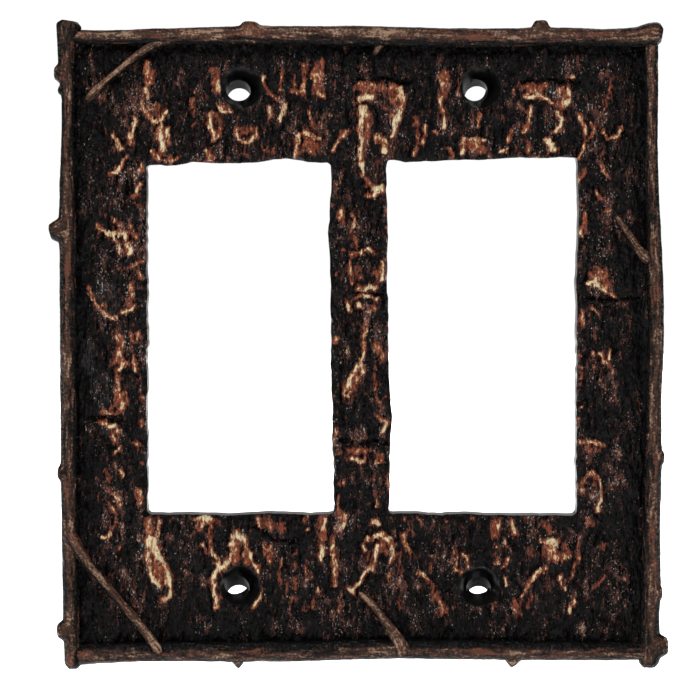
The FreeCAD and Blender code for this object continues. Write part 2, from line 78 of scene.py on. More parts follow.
# The bark drawing. A stroke is its width, then x and z of each point along it.
DRAWING: dict[Paint, tuple[Line, ...]] = {
    Paint.CREAM: (
        # top left
        (0.7, -40.8, 47.8, -40.3, 46.2),
        (0.8, -41.5, 45.8, -41.3, 43.2, -39.8, 42.3, -38.2, 42.4, -37.1, 44.0),
        (1.2, -38.3, 41.0, -38.5, 38.8, -37.6, 36.8), (0.9, -36.6, 40.5, -36.4, 38.2),
        (0.8, -39.6, 36.3, -38.6, 34.8, -36.6, 34.4, -34.8, 35.2), (0.6, -43.4, 42.8, -43.2, 40.5),
        (0.9, -43.7, 39.2, -43.8, 37.7), (0.7, -47.3, 39.8, -46.8, 38.2, -45.8, 36.8),
        (0.9, -45.0, 35.3, -46.0, 33.8, -47.0, 32.0, -47.8, 31.7), (0.5, -31.8, 46.3, -31.8, 43.2),
        (0.5, -31.6, 47.7), (0.5, -31.6, 41.3), (0.7, -26.8, 49.6, -26.6, 48.6),
        (0.7, -27.3, 45.6, -26.2, 44.0, -24.6, 43.7), (1.0, -28.5, 43.2, -28.4, 40.6, -27.9, 38.4),
        (0.8, -23.5, 40.8, -23.0, 38.7, -21.5, 38.0, -19.9, 38.8, -19.7, 40.9),
        (0.7, -29.5, 36.6, -28.9, 34.8), (0.6, -22.3, 35.6, -21.0, 34.8),
        # top middle
        (0.6, -18.3, 50.5, -17.9, 48.6, -17.3, 47.0), (0.7, -17.3, 47.0, -15.5, 46.0, -13.8, 45.2),
        (0.9, -17.0, 44.5, -16.8, 42.5), (0.9, -14.0, 45.0, -14.6, 43.4, -15.2, 42.0),
        (0.4, -14.5, 52.0, -15.0, 48.3), (0.4, -12.2, 51.0, -12.2, 47.8),
        (0.6, -12.8, 47.5, -11.0, 47.5), (0.8, -10.7, 48.6, -10.6, 47.8), (0.8, -7.3, 47.2, -6.3, 47.1),
        (0.5, -9.2, 43.5, -8.9, 41.0, -8.1, 40.4, -7.7, 41.8),
        (0.9, -11.8, 35.0, -11.9, 37.5, -11.5, 39.5), (0.9, -11.5, 39.5, -9.4, 39.4, -7.3, 39.0),
        (0.7, -5.0, 36.0, -3.7, 37.8), (0.7, -3.0, 39.0, -2.3, 40.3),
        (0.4, -18.6, 37.6, -18.6, 36.5, -17.6, 36.3, -17.4, 37.4),
        (1.1, 0.5, 46.2, 1.8, 46.7, 3.0, 46.6),
        (0.9, 1.0, 45.0, 0.7, 42.5, 0.3, 40.5, 0.5, 38.0, 0.7, 35.0, 1.0, 33.0, 1.5, 31.0, 2.3, 29.5),
        (1.4, 3.3, 28.8, 4.5, 29.0), (0.6, 1.7, 27.4, 3.0, 27.2, 3.8, 28.0),
        (0.9, 8.2, 48.5, 8.8, 46.5, 8.6, 44.5, 7.8, 42.5, 7.3, 40.8, 6.5, 39.5),
        (1.5, 3.9, 38.6, 5.3, 37.6, 5.1, 36.2), (0.5, 11.3, 42.5, 11.5, 40.0, 11.3, 36.7, 10.5, 35.2),
        (0.5, 13.0, 41.5, 13.3, 39.5, 12.5, 38.0), (0.9, 16.2, 46.0, 16.3, 43.5, 16.8, 41.0),
        (0.4, 19.5, 50.0, 19.5, 46.5), (0.5, 14.8, 40.0, 15.8, 39.3), (0.6, 17.8, 37.0, 18.5, 35.3),
        # top right
        (0.9, 20.6, 35.4, 20.6, 38.5), (0.9, 20.8, 38.6, 24.8, 38.4), (0.7, 23.6, 43.3, 23.4, 41.2),
        (0.7, 27.5, 36.0, 29.0, 37.0), (0.7, 29.4, 38.5, 29.9, 39.9),
        (0.8, 41.0, 48.2, 41.0, 46.2, 40.3, 45.0), (1.1, 32.8, 46.4, 35.0, 46.6, 37.2, 45.6),
        (0.8, 33.5, 44.5, 33.0, 42.5, 32.8, 40.5, 32.2, 39.7),
        (0.8, 38.7, 43.5, 39.8, 42.0, 39.0, 40.3, 38.0, 39.8),
        (1.3, 36.6, 38.6, 37.8, 37.6, 37.8, 36.4), (0.7, 42.8, 43.0, 43.8, 41.0, 44.0, 39.0),
        (0.7, 45.2, 41.5, 45.8, 39.8, 44.5, 38.8, 43.5, 37.0, 42.8, 35.2),
        (0.6, 47.5, 40.3, 48.5, 39.0, 50.0, 39.0, 51.0, 40.7),
        (0.35, 49.2, 50.3, 49.0, 48.0, 48.0, 46.0, 48.0, 44.0), (0.6, 41.2, 50.8, 41.9, 50.5),
        # left stile
        (0.7, -42.0, 33.5, -42.0, 31.8), (0.6, -42.9, 28.6, -42.0, 30.0), (0.5, -43.5, 26.0),
        (0.5, -42.7, 25.5), (0.7, -46.8, 22.6, -46.3, 22.1),
        (0.7, -50.3, 21.7, -48.2, 20.2, -46.0, 20.2), (0.7, -47.5, 20.0, -46.8, 18.8, -46.0, 16.2),
        (0.8, -45.3, 20.3, -44.8, 18.8), (1.3, -44.6, 18.0, -44.4, 16.4),
        (0.6, -42.9, 19.6, -42.6, 19.2), (0.7, -43.9, 14.1, -42.8, 14.8, -41.9, 15.0),
        (0.6, -46.3, 13.4, -46.1, 13.2), (0.6, -42.2, 12.8, -42.0, 11.4), (0.5, -42.0, 9.7),
        (0.7, -52.4, 9.3, -51.3, 7.5, -50.2, 5.5, -48.8, 4.2, -47.8, 3.7, -46.5, 4.1),
        (0.8, -45.3, 5.2, -44.2, 5.6, -43.0, 6.4),
        (0.7, -43.9, 0.6, -43.6, -0.7, -42.7, -0.4, -42.6, 0.7), (0.6, -43.5, -3.0, -43.0, -6.3),
        (0.7, -46.8, -6.4, -45.2, -5.1, -44.6, -4.6), (0.6, -47.0, -7.0, -46.5, -10.2),
        (0.7, -45.4, -10.3, -45.3, -12.5, -45.8, -14.0, -46.8, -14.8, -49.2, -14.8, -49.7, -14.2),
        (0.7, -50.7, -16.2, -48.5, -17.0, -47.2, -16.8, -46.6, -18.3),
        (0.6, -46.2, -21.5, -47.3, -22.6), (0.4, -42.2, -16.0, -42.2, -17.5),
        (0.4, -43.7, -20.3, -42.4, -21.0), (0.35, -42.2, -22.0), (0.35, -42.2, -24.5),
        (0.35, -42.2, -27.0), (0.6, -42.6, -30.0, -42.2, -32.6), (0.45, -46.3, -25.5, -45.6, -27.0),
        (0.5, -49.3, -26.0, -48.3, -28.0), (0.8, -48.3, -29.5, -46.7, -31.5), (1.0, -46.5, -32.3),
        (0.7, -47.5, -37.0, -48.6, -38.3, -49.8, -39.0), (0.6, -46.6, -41.0),
        # bottom left and middle
        (0.7, -38.5, -35.4, -38.8, -38.0, -39.6, -40.0),
        (1.1, -40.0, -38.8, -39.0, -42.0, -37.8, -44.5, -37.0, -46.0),
        (1.0, -37.0, -46.0, -36.8, -50.5, -37.8, -51.5),
        (0.8, -40.7, -42.0, -40.5, -45.5, -40.0, -47.5, -39.0, -48.5),
        (0.8, -31.8, -35.6, -29.8, -35.3, -27.6, -35.6),
        (0.6, -31.5, -36.8, -31.0, -37.8, -30.3, -37.0),
        (0.7, -28.5, -36.0, -28.8, -39.0, -28.3, -41.5, -27.3, -43.5, -27.0, -45.0),
        (0.6, -30.2, -40.5, -29.5, -42.5),
        (0.9, -23.5, -38.0, -24.5, -40.0, -24.8, -43.0, -27.0, -45.5, -28.3, -47.0, -28.2, -50.0,
         -27.5, -52.8),
        (0.9, -23.5, -38.0, -22.3, -40.0, -20.8, -43.0, -19.8, -45.0, -19.3, -48.0, -19.3, -51.0,
         -20.5, -52.7),
        (0.7, -19.3, -35.4, -19.0, -37.2), (0.6, -18.2, -39.8, -17.7, -42.5),
        (0.6, -16.8, -40.5, -17.5, -43.8), (0.35, -12.0, -44.0, -12.0, -45.8),
        (0.35, -10.3, -45.0, -10.3, -47.5), (0.35, -15.0, -43.0, -15.0, -49.0),
        (0.35, -14.0, -48.0, -14.0, -50.0), (0.5, -12.5, -42.0), (0.35, -12.0, -47.0, -12.0, -49.0),
        (0.35, -13.0, -51.0, -13.0, -56.0), (0.4, -10.5, -53.5), (0.35, -9.0, -51.0, -9.0, -53.0),
        (0.7, -9.3, -37.5), (0.6, -6.2, -35.4, -6.2, -39.0), (1.1, -7.3, -41.5, -7.2, -43.5),
        (1.0, -4.8, -39.0, -4.8, -43.0, -4.4, -48.2), (0.6, -2.3, -34.4, -3.2, -37.8),
        (0.9, 2.0, -39.3, 4.8, -38.3, 6.3, -39.5, 7.3, -41.5, 6.8, -43.0, 6.2, -44.0),
        (0.6, 1.2, -40.6, 1.4, -41.6), (0.8, 3.8, -40.5, 3.2, -43.5, 3.0, -45.3),
        (0.8, 2.3, -45.0, 0.8, -47.0, -1.3, -49.3, -1.0, -50.0), (1.2, 2.8, -35.8, 4.0, -36.4),
        (0.7, 9.0, -38.5, 9.8, -40.5, 10.2, -42.0), (0.6, 11.6, -35.5, 12.3, -36.3), (0.5, 9.0, -35.6),
        (0.5, 17.3, -35.6), (0.5, 22.5, -35.7), (0.5, 15.0, -40.0), (0.5, 14.7, -42.5),
        (0.5, 14.2, -44.0, 14.2, -45.5), (0.8, 12.0, -45.8, 14.2, -47.3),
        # bottom right
        (0.5, 19.4, -43.0, 19.3, -45.6, 20.5, -46.4, 21.7, -45.5, 21.7, -43.2, 20.6, -42.2),
        (0.7, 27.8, -35.4, 27.6, -38.6), (0.8, 27.0, -40.5), (0.8, 26.8, -42.5), (0.8, 27.3, -43.8),
        (0.6, 29.3, -43.3, 28.8, -45.0), (0.6, 30.4, -35.8, 31.2, -38.6),
        (0.6, 29.0, -39.5, 29.0, -40.5), (0.7, 28.8, -47.0, 29.2, -48.7),
        (1.0, 35.7, -39.8, 38.8, -39.8), (0.9, 40.3, -40.5, 41.0, -42.0, 40.2, -43.5),
        (0.8, 36.5, -45.0, 34.5, -47.0, 33.0, -49.5, 32.3, -50.5), (0.8, 39.7, -47.0, 40.3, -49.0),
        (0.6, 43.3, -39.0), (0.5, 42.0, -44.0, 42.0, -46.5), (0.7, 42.3, -51.5, 41.8, -53.3),
        (0.5, 48.7, -40.5),
        # right stile
        (0.8, 43.4, 31.4, 43.0, 30.0), (0.7, 47.3, 33.8, 47.7, 32.5, 48.3, 31.0),
        (0.6, 46.2, 28.5, 47.5, 27.0), (0.5, 43.0, 27.2, 43.0, 25.5, 43.8, 25.5),
        (0.7, 43.6, 20.4, 43.6, 19.8), (0.6, 49.0, 25.0, 48.3, 24.3), (0.7, 46.3, 14.2),
        (0.7, 45.3, 12.5, 45.8, 11.3, 44.5, 10.3), (0.7, 45.5, 10.6, 47.2, 10.0, 48.5, 8.8, 50.0, 8.3),
        (0.8, 43.6, 5.6, 43.7, 2.6), (0.6, 45.5, 5.7, 46.8, 4.8),
        (0.6, 47.2, -3.0, 47.6, -4.8, 48.8, -4.2, 48.9, -2.4), (0.5, 48.3, -5.0, 49.8, -6.3),
        (0.45, 43.3, -6.0, 43.3, -8.0), (0.35, 43.3, -9.0), (0.35, 43.3, -12.0), (0.5, 43.3, -14.0),
        (0.4, 43.3, -16.0, 43.3, -17.0), (0.35, 43.3, -0.5), (0.35, 43.3, -3.5),
        (0.7, 43.4, -20.6, 45.3, -20.2, 48.0, -21.0),
        (0.7, 43.8, -30.0, 44.3, -27.4, 45.8, -26.0, 47.2, -28.0, 47.8, -31.0, 47.5, -32.5, 46.5, -33.7),
        (0.6, 46.3, -29.0),
        # mullion
        (0.8, -3.3, 24.4, -3.1, 23.5), (0.6, -1.0, 24.0, -0.7, 22.3, -1.3, 20.7), (0.5, -3.0, 18.5),
        (0.5, -3.0, 17.0), (0.8, -1.3, 16.4, 1.0, 16.8, 2.2, 17.2, 3.0, 16.3),
        (0.8, -0.3, 9.7, 1.0, 9.0, 2.0, 9.5, 4.0, 9.8), (0.5, -1.4, 15.0, -1.2, 11.0),
        (0.5, 4.8, 15.0, 4.9, 11.0), (0.7, 0.2, 7.8, 4.0, 7.7), (0.8, -2.0, 6.8, -1.6, 5.6),
        (0.8, 0.0, 6.2, 0.6, 5.4), (0.7, 1.7, 3.5, 1.5, 2.0, 1.2, 0.0, 1.2, -2.0, 0.8, -3.8, 0.0, -5.3),
        (0.4, -4.5, 14.0), (0.4, -4.5, 12.5), (0.4, -4.9, 9.0), (0.4, 5.3, 25.0), (0.5, 5.7, 21.0),
        (0.5, 5.7, 16.7), (0.6, 0.3, -5.0, 1.6, -5.8, -1.8, -11.6, -3.1, -10.9, 0.3, -5.0),
        (0.6, -4.5, -0.4, -3.6, -0.4), (0.5, 3.5, -6.0), (0.4, 3.3, -7.0, 3.3, -10.5),
        (0.6, 3.8, -11.5, 4.2, -13.0), (0.4, 5.8, -11.5), (0.8, 4.2, -15.4, 5.6, -16.4, 4.8, -18.2),
        (0.6, -4.1, -18.0, -4.1, -20.0), (0.6, -3.5, -22.5), (0.8, -1.5, -23.6, 1.5, -23.7),
        (0.5, 3.6, -22.8, 3.6, -24.2, 4.6, -24.3, 4.6, -22.8), (0.7, -3.3, -28.5), (0.6, -2.2, -28.3),
        (0.6, -3.7, -31.0, -3.7, -34.0), (0.7, 3.5, -30.0, 3.9, -32.5), (0.5, 6.0, -27.0, 6.0, -29.5),
    ),
    Paint.RUST: (
        # over the lower left screw hole
        (2.2, -23.8, -39.4, -23.7, -43.4), (1.3, -25.0, -42.6, -25.8, -45.4),
        (1.2, -22.2, -42.6, -21.0, -45.6),
        # top
        (1.6, -40.3, 53.0, -40.0, 49.5, -40.3, 47.5), (1.6, -39.5, 44.3, -38.6, 44.2),
        (1.6, -37.5, 40.0, -37.3, 37.5), (1.0, -38.0, 35.9, -36.0, 35.6),
        (0.9, -43.4, 42.5, -43.5, 39.5), (0.8, -46.8, 37.4, -46.2, 36.6),
        (2.0, -27.5, 51.5, -27.0, 48.5), (1.0, -26.0, 44.8, -25.0, 44.5),
        (1.2, -26.8, 43.0, -26.8, 39.0), (1.2, -22.5, 40.0, -20.8, 40.2),
        (1.0, -28.3, 36.5, -28.0, 34.9), (1.2, -10.2, 53.0, -10.2, 49.0), (2.2, -7.5, 53.0, -7.5, 48.2),
        (3.0, -9.7, 37.2, -8.7, 37.0), (1.0, -16.3, 36.0), (2.6, 0.8, 48.5, 4.2, 48.4),
        (0.8, -0.4, 45.0, -0.3, 44.0), (2.4, 7.2, 48.0, 7.6, 45.6),
        (1.3, 1.9, 43.5, 1.8, 40.0, 1.6, 36.5), (0.8, 4.5, 46.0, 6.5, 42.0), (0.5, 0.5, 52.0),
        (0.5, 2.2, 52.0), (0.6, 9.5, 50.7), (0.6, 7.0, 51.5), (2.0, 16.8, 51.0, 16.6, 47.0),
        (2.8, 22.4, 36.8, 23.4, 36.6), (0.9, 30.2, 47.8, 30.2, 46.6), (2.2, 32.3, 48.6, 35.4, 48.4),
        (2.2, 39.6, 47.8, 39.4, 45.6), (0.8, 31.5, 44.5), (1.2, 33.0, 38.0, 33.3, 36.0),
        (0.6, 32.5, 51.5), (0.7, 41.3, 50.7), (1.0, 45.0, 36.5),
        # left stile
        (1.0, -43.5, 27.5, -42.7, 29.0), (0.9, -47.5, 23.5), (1.6, -43.8, 21.4, -43.5, 20.2),
        (0.7, -42.2, 17.6), (0.8, -42.3, 12.6, -42.2, 11.8), (0.9, -48.5, 6.0),
        (1.4, -44.2, 10.5, -44.2, 6.6), (2.0, -46.5, 0.3, -46.3, -4.5),
        (1.0, -46.8, -11.0, -47.5, -13.6), (1.0, -47.2, -19.5, -47.2, -20.6),
        (0.6, -42.2, -8.0, -42.2, -12.3), (0.9, -43.0, -30.0, -42.7, -32.6),
        (1.3, -48.5, -32.8, -47.3, -34.0, -47.0, -36.0),
        # bottom
        (2.2, -41.0, -36.0, -40.3, -38.8), (2.0, -40.6, -39.8, -39.5, -44.0, -38.6, -48.0),
        (1.4, -30.4, -36.4, -29.6, -36.2), (1.0, -26.5, -47.0, -26.8, -51.0),
        (2.2, -17.6, -36.2, -15.0, -37.2), (1.3, -7.0, -35.6, -7.0, -42.0),
        (1.3, -3.4, -34.6, -3.5, -37.5), (0.9, -7.5, -50.0), (0.7, -3.3, -50.0, -3.3, -53.5),
        (1.4, 4.6, -40.0, 5.6, -42.0), (1.1, 9.8, -36.6, 9.8, -37.6), (0.8, 8.3, -42.0, 8.3, -46.3),
        (1.0, 14.5, -47.8, 15.8, -51.0, 16.7, -54.0), (0.7, 8.5, -48.0, 8.5, -49.0),
        (0.7, 6.3, -46.0, 6.3, -48.0), (0.7, 8.3, -51.0, 8.3, -53.0), (1.4, 26.6, -36.0, 26.6, -38.6),
        (0.9, 30.4, -36.0, 30.4, -38.5), (3.0, 37.6, -41.8, 38.6, -42.8),
        (1.6, 36.6, -36.6, 37.6, -37.8), (0.8, 34.0, -51.0, 34.0, -52.5),
        (1.9, 31.0, -51.6, 31.0, -53.4), (0.8, 43.0, -40.0, 43.0, -43.0),
        (0.9, 46.0, -49.0, 48.7, -46.5), (1.5, 44.6, -35.8, 45.4, -36.4),
        # right stile
        (0.8, 44.3, 33.5, 43.8, 32.2), (1.5, 43.9, 23.5, 43.8, 21.0), (3.4, 47.0, 12.0, 48.0, 10.8),
        (1.2, 44.7, -21.6, 46.5, -22.0),
        # mullion
        (1.4, -3.0, 24.4, -3.0, 22.9), (1.2, -0.6, 19.2, -0.4, 18.4), (1.2, 0.0, 14.0, 0.3, 11.5),
        (1.0, 4.0, 13.5, 4.0, 11.0), (1.4, 2.2, 5.6, 3.4, 5.4), (1.2, 0.5, -5.8, -2.4, -10.8),
        (1.8, 3.6, -1.8, 4.8, -3.4), (0.7, 3.0, -27.5), (1.0, -1.5, -22.3, 3.0, -22.0),
    ),
    Paint.PLATE: (
        (5.5, -49.5, 9.0, -48.8, 6.5), (5.5, -49.8, -9.8, -48.3, -12.2),
        (2.0, -49.5, -17.8, -48.0, -18.5), (2.6, -52.5, -1.2, -51.6, -2.8),
        (2.6, -52.8, -4.2, -52.2, -6.0), (1.4, 2.0, 14.8), (4.2, 2.0, 47.6, 6.4, 47.2),
        (2.4, 1.6, 44.0, 1.3, 33.0), (2.0, 7.6, 46.0, 6.5, 41.0), (4.0, 33.4, 47.8, 38.4, 47.2),
        (2.2, 33.8, 44.0, 33.4, 38.0), (2.0, 39.6, 46.0, 38.8, 41.5), (3.4, -41.2, -40.5, -38.6, -49.0),
        (4.0, 47.2, 12.2, 48.2, 10.4), (3.6, 38.0, -41.6),
    ),
    Paint.CRACK: (
        (0.7, 0.0, 49.8, 5.0, 49.9, 10.5, 49.6), (0.7, 32.0, 49.8, 43.0, 49.8),
        (0.8, -52.0, -15.7, -46.0, -15.9), (0.7, -20.0, -37.0, -16.0, -39.8, -12.0, -40.0),
        (0.8, 0.0, 8.7, 5.0, 8.7), (0.6, 43.8, 7.6, 55.0, 7.7), (0.9, -3.0, -20.4, 6.0, -20.6),
    ),
}


def smooth(value: Array, low: float, high: float) -> Array:
    """Smooth step from 0 at low to 1 at high."""
    share = np.clip((value - low) / (high - low), 0.0, 1.0)
    return share * share * (3.0 - 2.0 * share)


class Noise:
    """Seeded lattice noise over a plane, from about -1 to 1."""

    span = 256  # cells along each side, after which it repeats

    def __init__(self, seed: int) -> None:
        """Fill the lattice."""
        self.lattice = np.random.default_rng(seed).uniform(-1.0, 1.0, (self.span, self.span))

    def knot(self, iu: Array, iv: Array) -> Array:
        """The lattice's values at whole places."""
        return self.lattice[iu % self.span, iv % self.span]

    def at(self, u: Array, v: Array) -> Array:
        """Value at each point; one unit is one lattice cell."""
        iu, iv = np.floor(u).astype(int), np.floor(v).astype(int)
        fu, fv = u - iu, v - iv
        fu, fv = fu * fu * (3 - 2 * fu), fv * fv * (3 - 2 * fv)
        a, b = self.knot(iu, iv), self.knot(iu + 1, iv)
        c, d = self.knot(iu, iv + 1), self.knot(iu + 1, iv + 1)
        return (a * (1 - fu) + b * fu) * (1 - fv) + (c * (1 - fu) + d * fu) * fv

    def layers(self, u: Array, v: Array, octaves: int) -> Array:
        """Sum of octaves, each twice as fine as the last and half as strong."""
        total = np.zeros_like(u)
        for k in range(octaves):
            total = total + 0.5**k * self.at(u * 2**k + 17.3 * k, v * 2**k + 41.7 * k)
        return total

    def ridges(self, u: Array, v: Array, octaves: int) -> Array:
        """Sharp crests from 0 in the furrows to 1 on the ridges."""
        total, size, whole = np.zeros_like(u), 1.0, 0.0
        for k in range(octaves):
            total = total + size * (1.0 - np.abs(self.at(u * 2**k + 9.1 * k, v * 2**k + 5.3 * k)))
            whole += size
            size *= 0.55
        return total / whole

    def cells(self, u: Array, v: Array) -> tuple[Array, Array]:
        """Scattered scales: how far each point is inside its scale, and a value for the scale."""
        iu, iv = np.floor(u).astype(int), np.floor(v).astype(int)
        first, second = np.full_like(u, 9.0), np.full_like(u, 9.0)
        value = np.zeros_like(u)
        for du in (-1, 0, 1):
            for dv in (-1, 0, 1):
                ku, kv = iu + du, iv + dv
                seat_u = ku + 0.5 + 0.46 * self.knot(ku, kv)
                seat_v = kv + 0.5 + 0.46 * self.knot(ku + 91, kv + 37)
                gap = np.hypot(seat_u - u, seat_v - v)
                closer = gap < first
                second = np.where(closer, first, np.minimum(second, gap))
                value = np.where(closer, self.knot(ku + 13, kv + 71), value)
                first = np.where(closer, gap, first)
        return second - first, value


@dataclass(frozen=True)
class Opening:
    """A rocker opening's edges in millimetres, with its uneven cut."""

    left: float
    right: float
    bottom: float
    top: float
    corner: float = 0.9
    reach: float = 3.0  # how far from the edge the mesh still moves
    left_run: tuple[tuple[float, float], ...] = ((0.0, 0.0),)  # along, and how far the edge strays
    right_run: tuple[tuple[float, float], ...] = ((0.0, 0.0),)
    top_run: tuple[tuple[float, float], ...] = ((0.0, 0.0),)

    def shift(self, x: Array, z: Array, ragged: Noise) -> tuple[Array, Array]:
        """How far the mesh near the edge moves, to round the corners and make the cut uneven.

        Args:
            x: place along X, before the move.
            z: place along Z, before the move.
            ragged: noise that the unevenness is taken from.

        Returns:
            The moves along X and Z.
        """
        mid_x, mid_z = (self.left + self.right) / 2, (self.bottom + self.top) / 2
        u = np.abs(x - mid_x) - (self.right - self.left) / 2
        v = np.abs(z - mid_z) - (self.top - self.bottom) / 2
        away = np.where((u > 0) & (v > 0), np.hypot(u, v), np.maximum(u, v))
        fade = np.clip(1.0 - away / self.reach, 0.0, 1.0) ** 2
        run_u = np.clip(-u, 0.0, None) * (v > u)
        run_v = np.clip(-v, 0.0, None) * (u >= v)
        run = run_u - run_v
        angle = np.clip(run / self.corner, -1.0, 1.0) * math.pi / 4 + math.pi / 4
        near = (np.abs(run) < self.corner) & (away < self.reach)
        arc_u, arc_v = self.corner * (np.cos(angle) - 1.0), self.corner * (np.sin(angle) - 1.0)
        flat_u, flat_v = -run_u, -run_v
        dx = np.where(near, arc_u - flat_u, 0.0) * np.sign(x - mid_x) * fade
        dz = np.where(near, arc_v - flat_v, 0.0) * np.sign(z - mid_z) * fade
        wander = 0.20 * ragged.at(x / 5.0, z / 5.0) + 0.13 * ragged.at(x / 1.3 + 50, z / 1.3)
        drift = 0.20 * ragged.at(x / 5.0 + 90, z / 5.0) + 0.13 * ragged.at(x / 1.3, z / 1.3 + 70)
        left, right = (np.interp(z, *zip(*run)) for run in (self.left_run, self.right_run))
        side = np.where(x < mid_x, left, right)
        over = np.where(z > mid_z, np.interp(x, *zip(*self.top_run)), 0.0)
        return dx + (wander + side) * fade, dz + (drift + over) * fade

    def gap(self, x: Array, z: Array) -> Array:
        """Distance from the opening's edge, in millimetres."""
        u = np.maximum(self.left - x, x - self.right)
        v = np.maximum(self.bottom - z, z - self.top)
        return np.hypot(np.maximum(u, 0.0), np.maximum(v, 0.0))


@dataclass
class BarkRelief:
    """Height and paint of the bark over the panel's mean face."""

    highest: float = 0.88  # over the mean face, mm
    deepest: float = -1.25
    half_width: float = 56.4
    low: float = -61.4
    high: float = 58.3
    scale_size: tuple[float, float] = (2.7, 8.0)  # width and height, mm
    chip_size: tuple[float, float] = (1.15, 4.0)
    furrow_size: tuple[float, float] = (1.7, 8.0)
    grain_size: tuple[float, float] = (0.75, 1.3)
    flake_rise: float = 0.24
    cream_rise: float = 0.45
    crack_depth: float = 0.9
    frame_dip: float = 0.45  # how much lower the bark lies beside the frame
    rough: Noise = field(default_factory=lambda: Noise(11))
    drift: Noise = field(default_factory=lambda: Noise(23))
    chips: Noise = field(default_factory=lambda: Noise(37))

    def strokes(self, paint: Paint, x: Array, z: Array, soft: float) -> Array:
        """How strongly the strokes of one paint cover each point, from 0 to 1."""
        cover = np.zeros_like(x)
        for width, *run in DRAWING[paint]:
            places = [(run[i] + DRAWING_SHIFT, run[i + 1]) for i in range(0, len(run), 2)]
            reach = width / 2 + soft
            px, pz = np.array(places).T
            near = np.flatnonzero((x > px.min() - reach) & (x < px.max() + reach)
                                  & (z > pz.min() - reach) & (z < pz.max() + reach))
            if not len(near):
                continue
            nx, nz = x[near], z[near]
            gap = np.hypot(nx - px[0], nz - pz[0])
            for (ax, az), (bx, bz) in zip(places, places[1:]):
                sx, sz = bx - ax, bz - az
                way = np.clip(((nx - ax) * sx + (nz - az) * sz) / (sx * sx + sz * sz), 0.0, 1.0)
                gap = np.minimum(gap, np.hypot(nx - ax - way * sx, nz - az - way * sz))
            cover[near] = np.maximum(cover[near], 1.0 - smooth(gap, width / 2 - soft, reach))
        return cover

    def shape(self, x: Array, z: Array) -> dict[str, Array]:
        """Height in millimetres and the paint cover at each point.

        Args:
            x: place along X, mm.
            z: place along Z, mm.

        Returns:
            Arrays named height, cream, rust and plate.
        """
        bend_x = 0.38 * self.drift.layers(x / 1.3, z / 1.9, 3)
        bend_z = 0.45 * self.drift.layers(x / 1.5 + 60, z / 1.7 + 30, 3)
        wx, wz = x + bend_x, z + bend_z
        swayed = x + 1.8 * self.drift.at(x / 8.0, z / 11.0)
        cream = self.strokes(Paint.CREAM, wx, wz, 0.62)
        rust = self.strokes(Paint.RUST, wx, wz, 0.85)
        plate = self.strokes(Paint.PLATE, wx * 0.7 + x * 0.3, wz * 0.7 + z * 0.3, 0.5)
        crack = self.strokes(Paint.CRACK, wx, wz, 0.35)
        height = self.bare(x, z, swayed, bend_x, bend_z)
        body = np.maximum(smooth(plate, 0.2, 0.8), 0.8 * smooth(rust, 0.35, 0.8))
        height = height * (1 - 0.55 * body) + body * self.flake_rise
        height = height + self.cream_rise * smooth(cream, 0.3, 0.8)
        height = height - self.crack_depth * crack * (1 - cream)
        edge = np.minimum(self.half_width - np.abs(x), np.minimum(z - self.low, self.high - z))
        height = height - self.frame_dip * (1 - smooth(edge, 1.2, 4.2))
        under = 1 - smooth(edge, 0.3, 1.1)
        height = height * (1 - under) - 0.05 * under
        patch = smooth(self.drift.layers(x / 5.3 + 3, z / 7.0 + 2, 2), 0.0, 0.8)
        crest = smooth(height, -0.10, 0.45)
        stray = smooth(self.chips.layers(swayed / 1.0 + 5, z / 2.2 + 8, 2), 0.15, 0.9)
        # away rises from 0 at the frame to 1 a few mm in: beside the frame the bark is painted darker, as
        # painted shade of the frame twigs
        away = smooth(edge, 2.0, 7.0)
        red = smooth(self.chips.at(swayed / 1.7 + 25, z / 4.0 + 60), 0.0, 0.7) * (0.35 + 0.65 * patch)
        return {
            "height": np.clip(height, self.deepest, self.highest),
            # raised bark gets more paint; beside the frame this value drops, which is painted shade
            "wear_and_frame_shade": height - 1.1 * (1 - away),
            "cream": np.clip(cream + 0.50 * stray * patch * crest * away, 0.0, 1.0),
            "rust": np.clip(rust + 0.75 * red * crest * (0.25 + 0.75 * away), 0.0, 1.0),
            "plate": np.clip(plate - 0.7 * rust, 0.0, 1.0),
        }

    def bare(self, x: Array, z: Array, swayed: Array, bend_x: Array,
             bend_z: Array) -> Array:
        """Height of the bark under the drawing's flakes: scales, chips, furrows and grain."""
        (scale_u, scale_v), (chip_u, chip_v) = self.scale_size, self.chip_size
        inside, level = self.chips.cells((swayed + 0.5 * bend_x) / scale_u, (z + 1.2 * bend_z) / scale_v)
        small, small_level = self.rough.cells((swayed + 0.4 * bend_x) / chip_u + 40,
                                              (z + 0.7 * bend_z) / chip_v + 20)
        furrow = self.rough.ridges(swayed / self.furrow_size[0], z / self.furrow_size[1], 3)
        grain = self.rough.layers(x / self.grain_size[0], z / self.grain_size[1], 2)
        scale = smooth(inside, 0.03, 0.30)
        height = -0.85 + scale * (0.42 + 0.22 * level) + 0.45 * furrow + 0.12 * grain
        return height + smooth(small, 0.02, 0.25) * (0.22 + 0.16 * small_level)


@dataclass(frozen=True)
class ScrewHole:
    """A countersunk hole whose bore leans; the CAD part's bores are straight."""

    x: float
    z: float
    start: tuple[float, float]  # bore's front end from the hole's centre
    slant: tuple[float, float]  # bore's back end from its front end


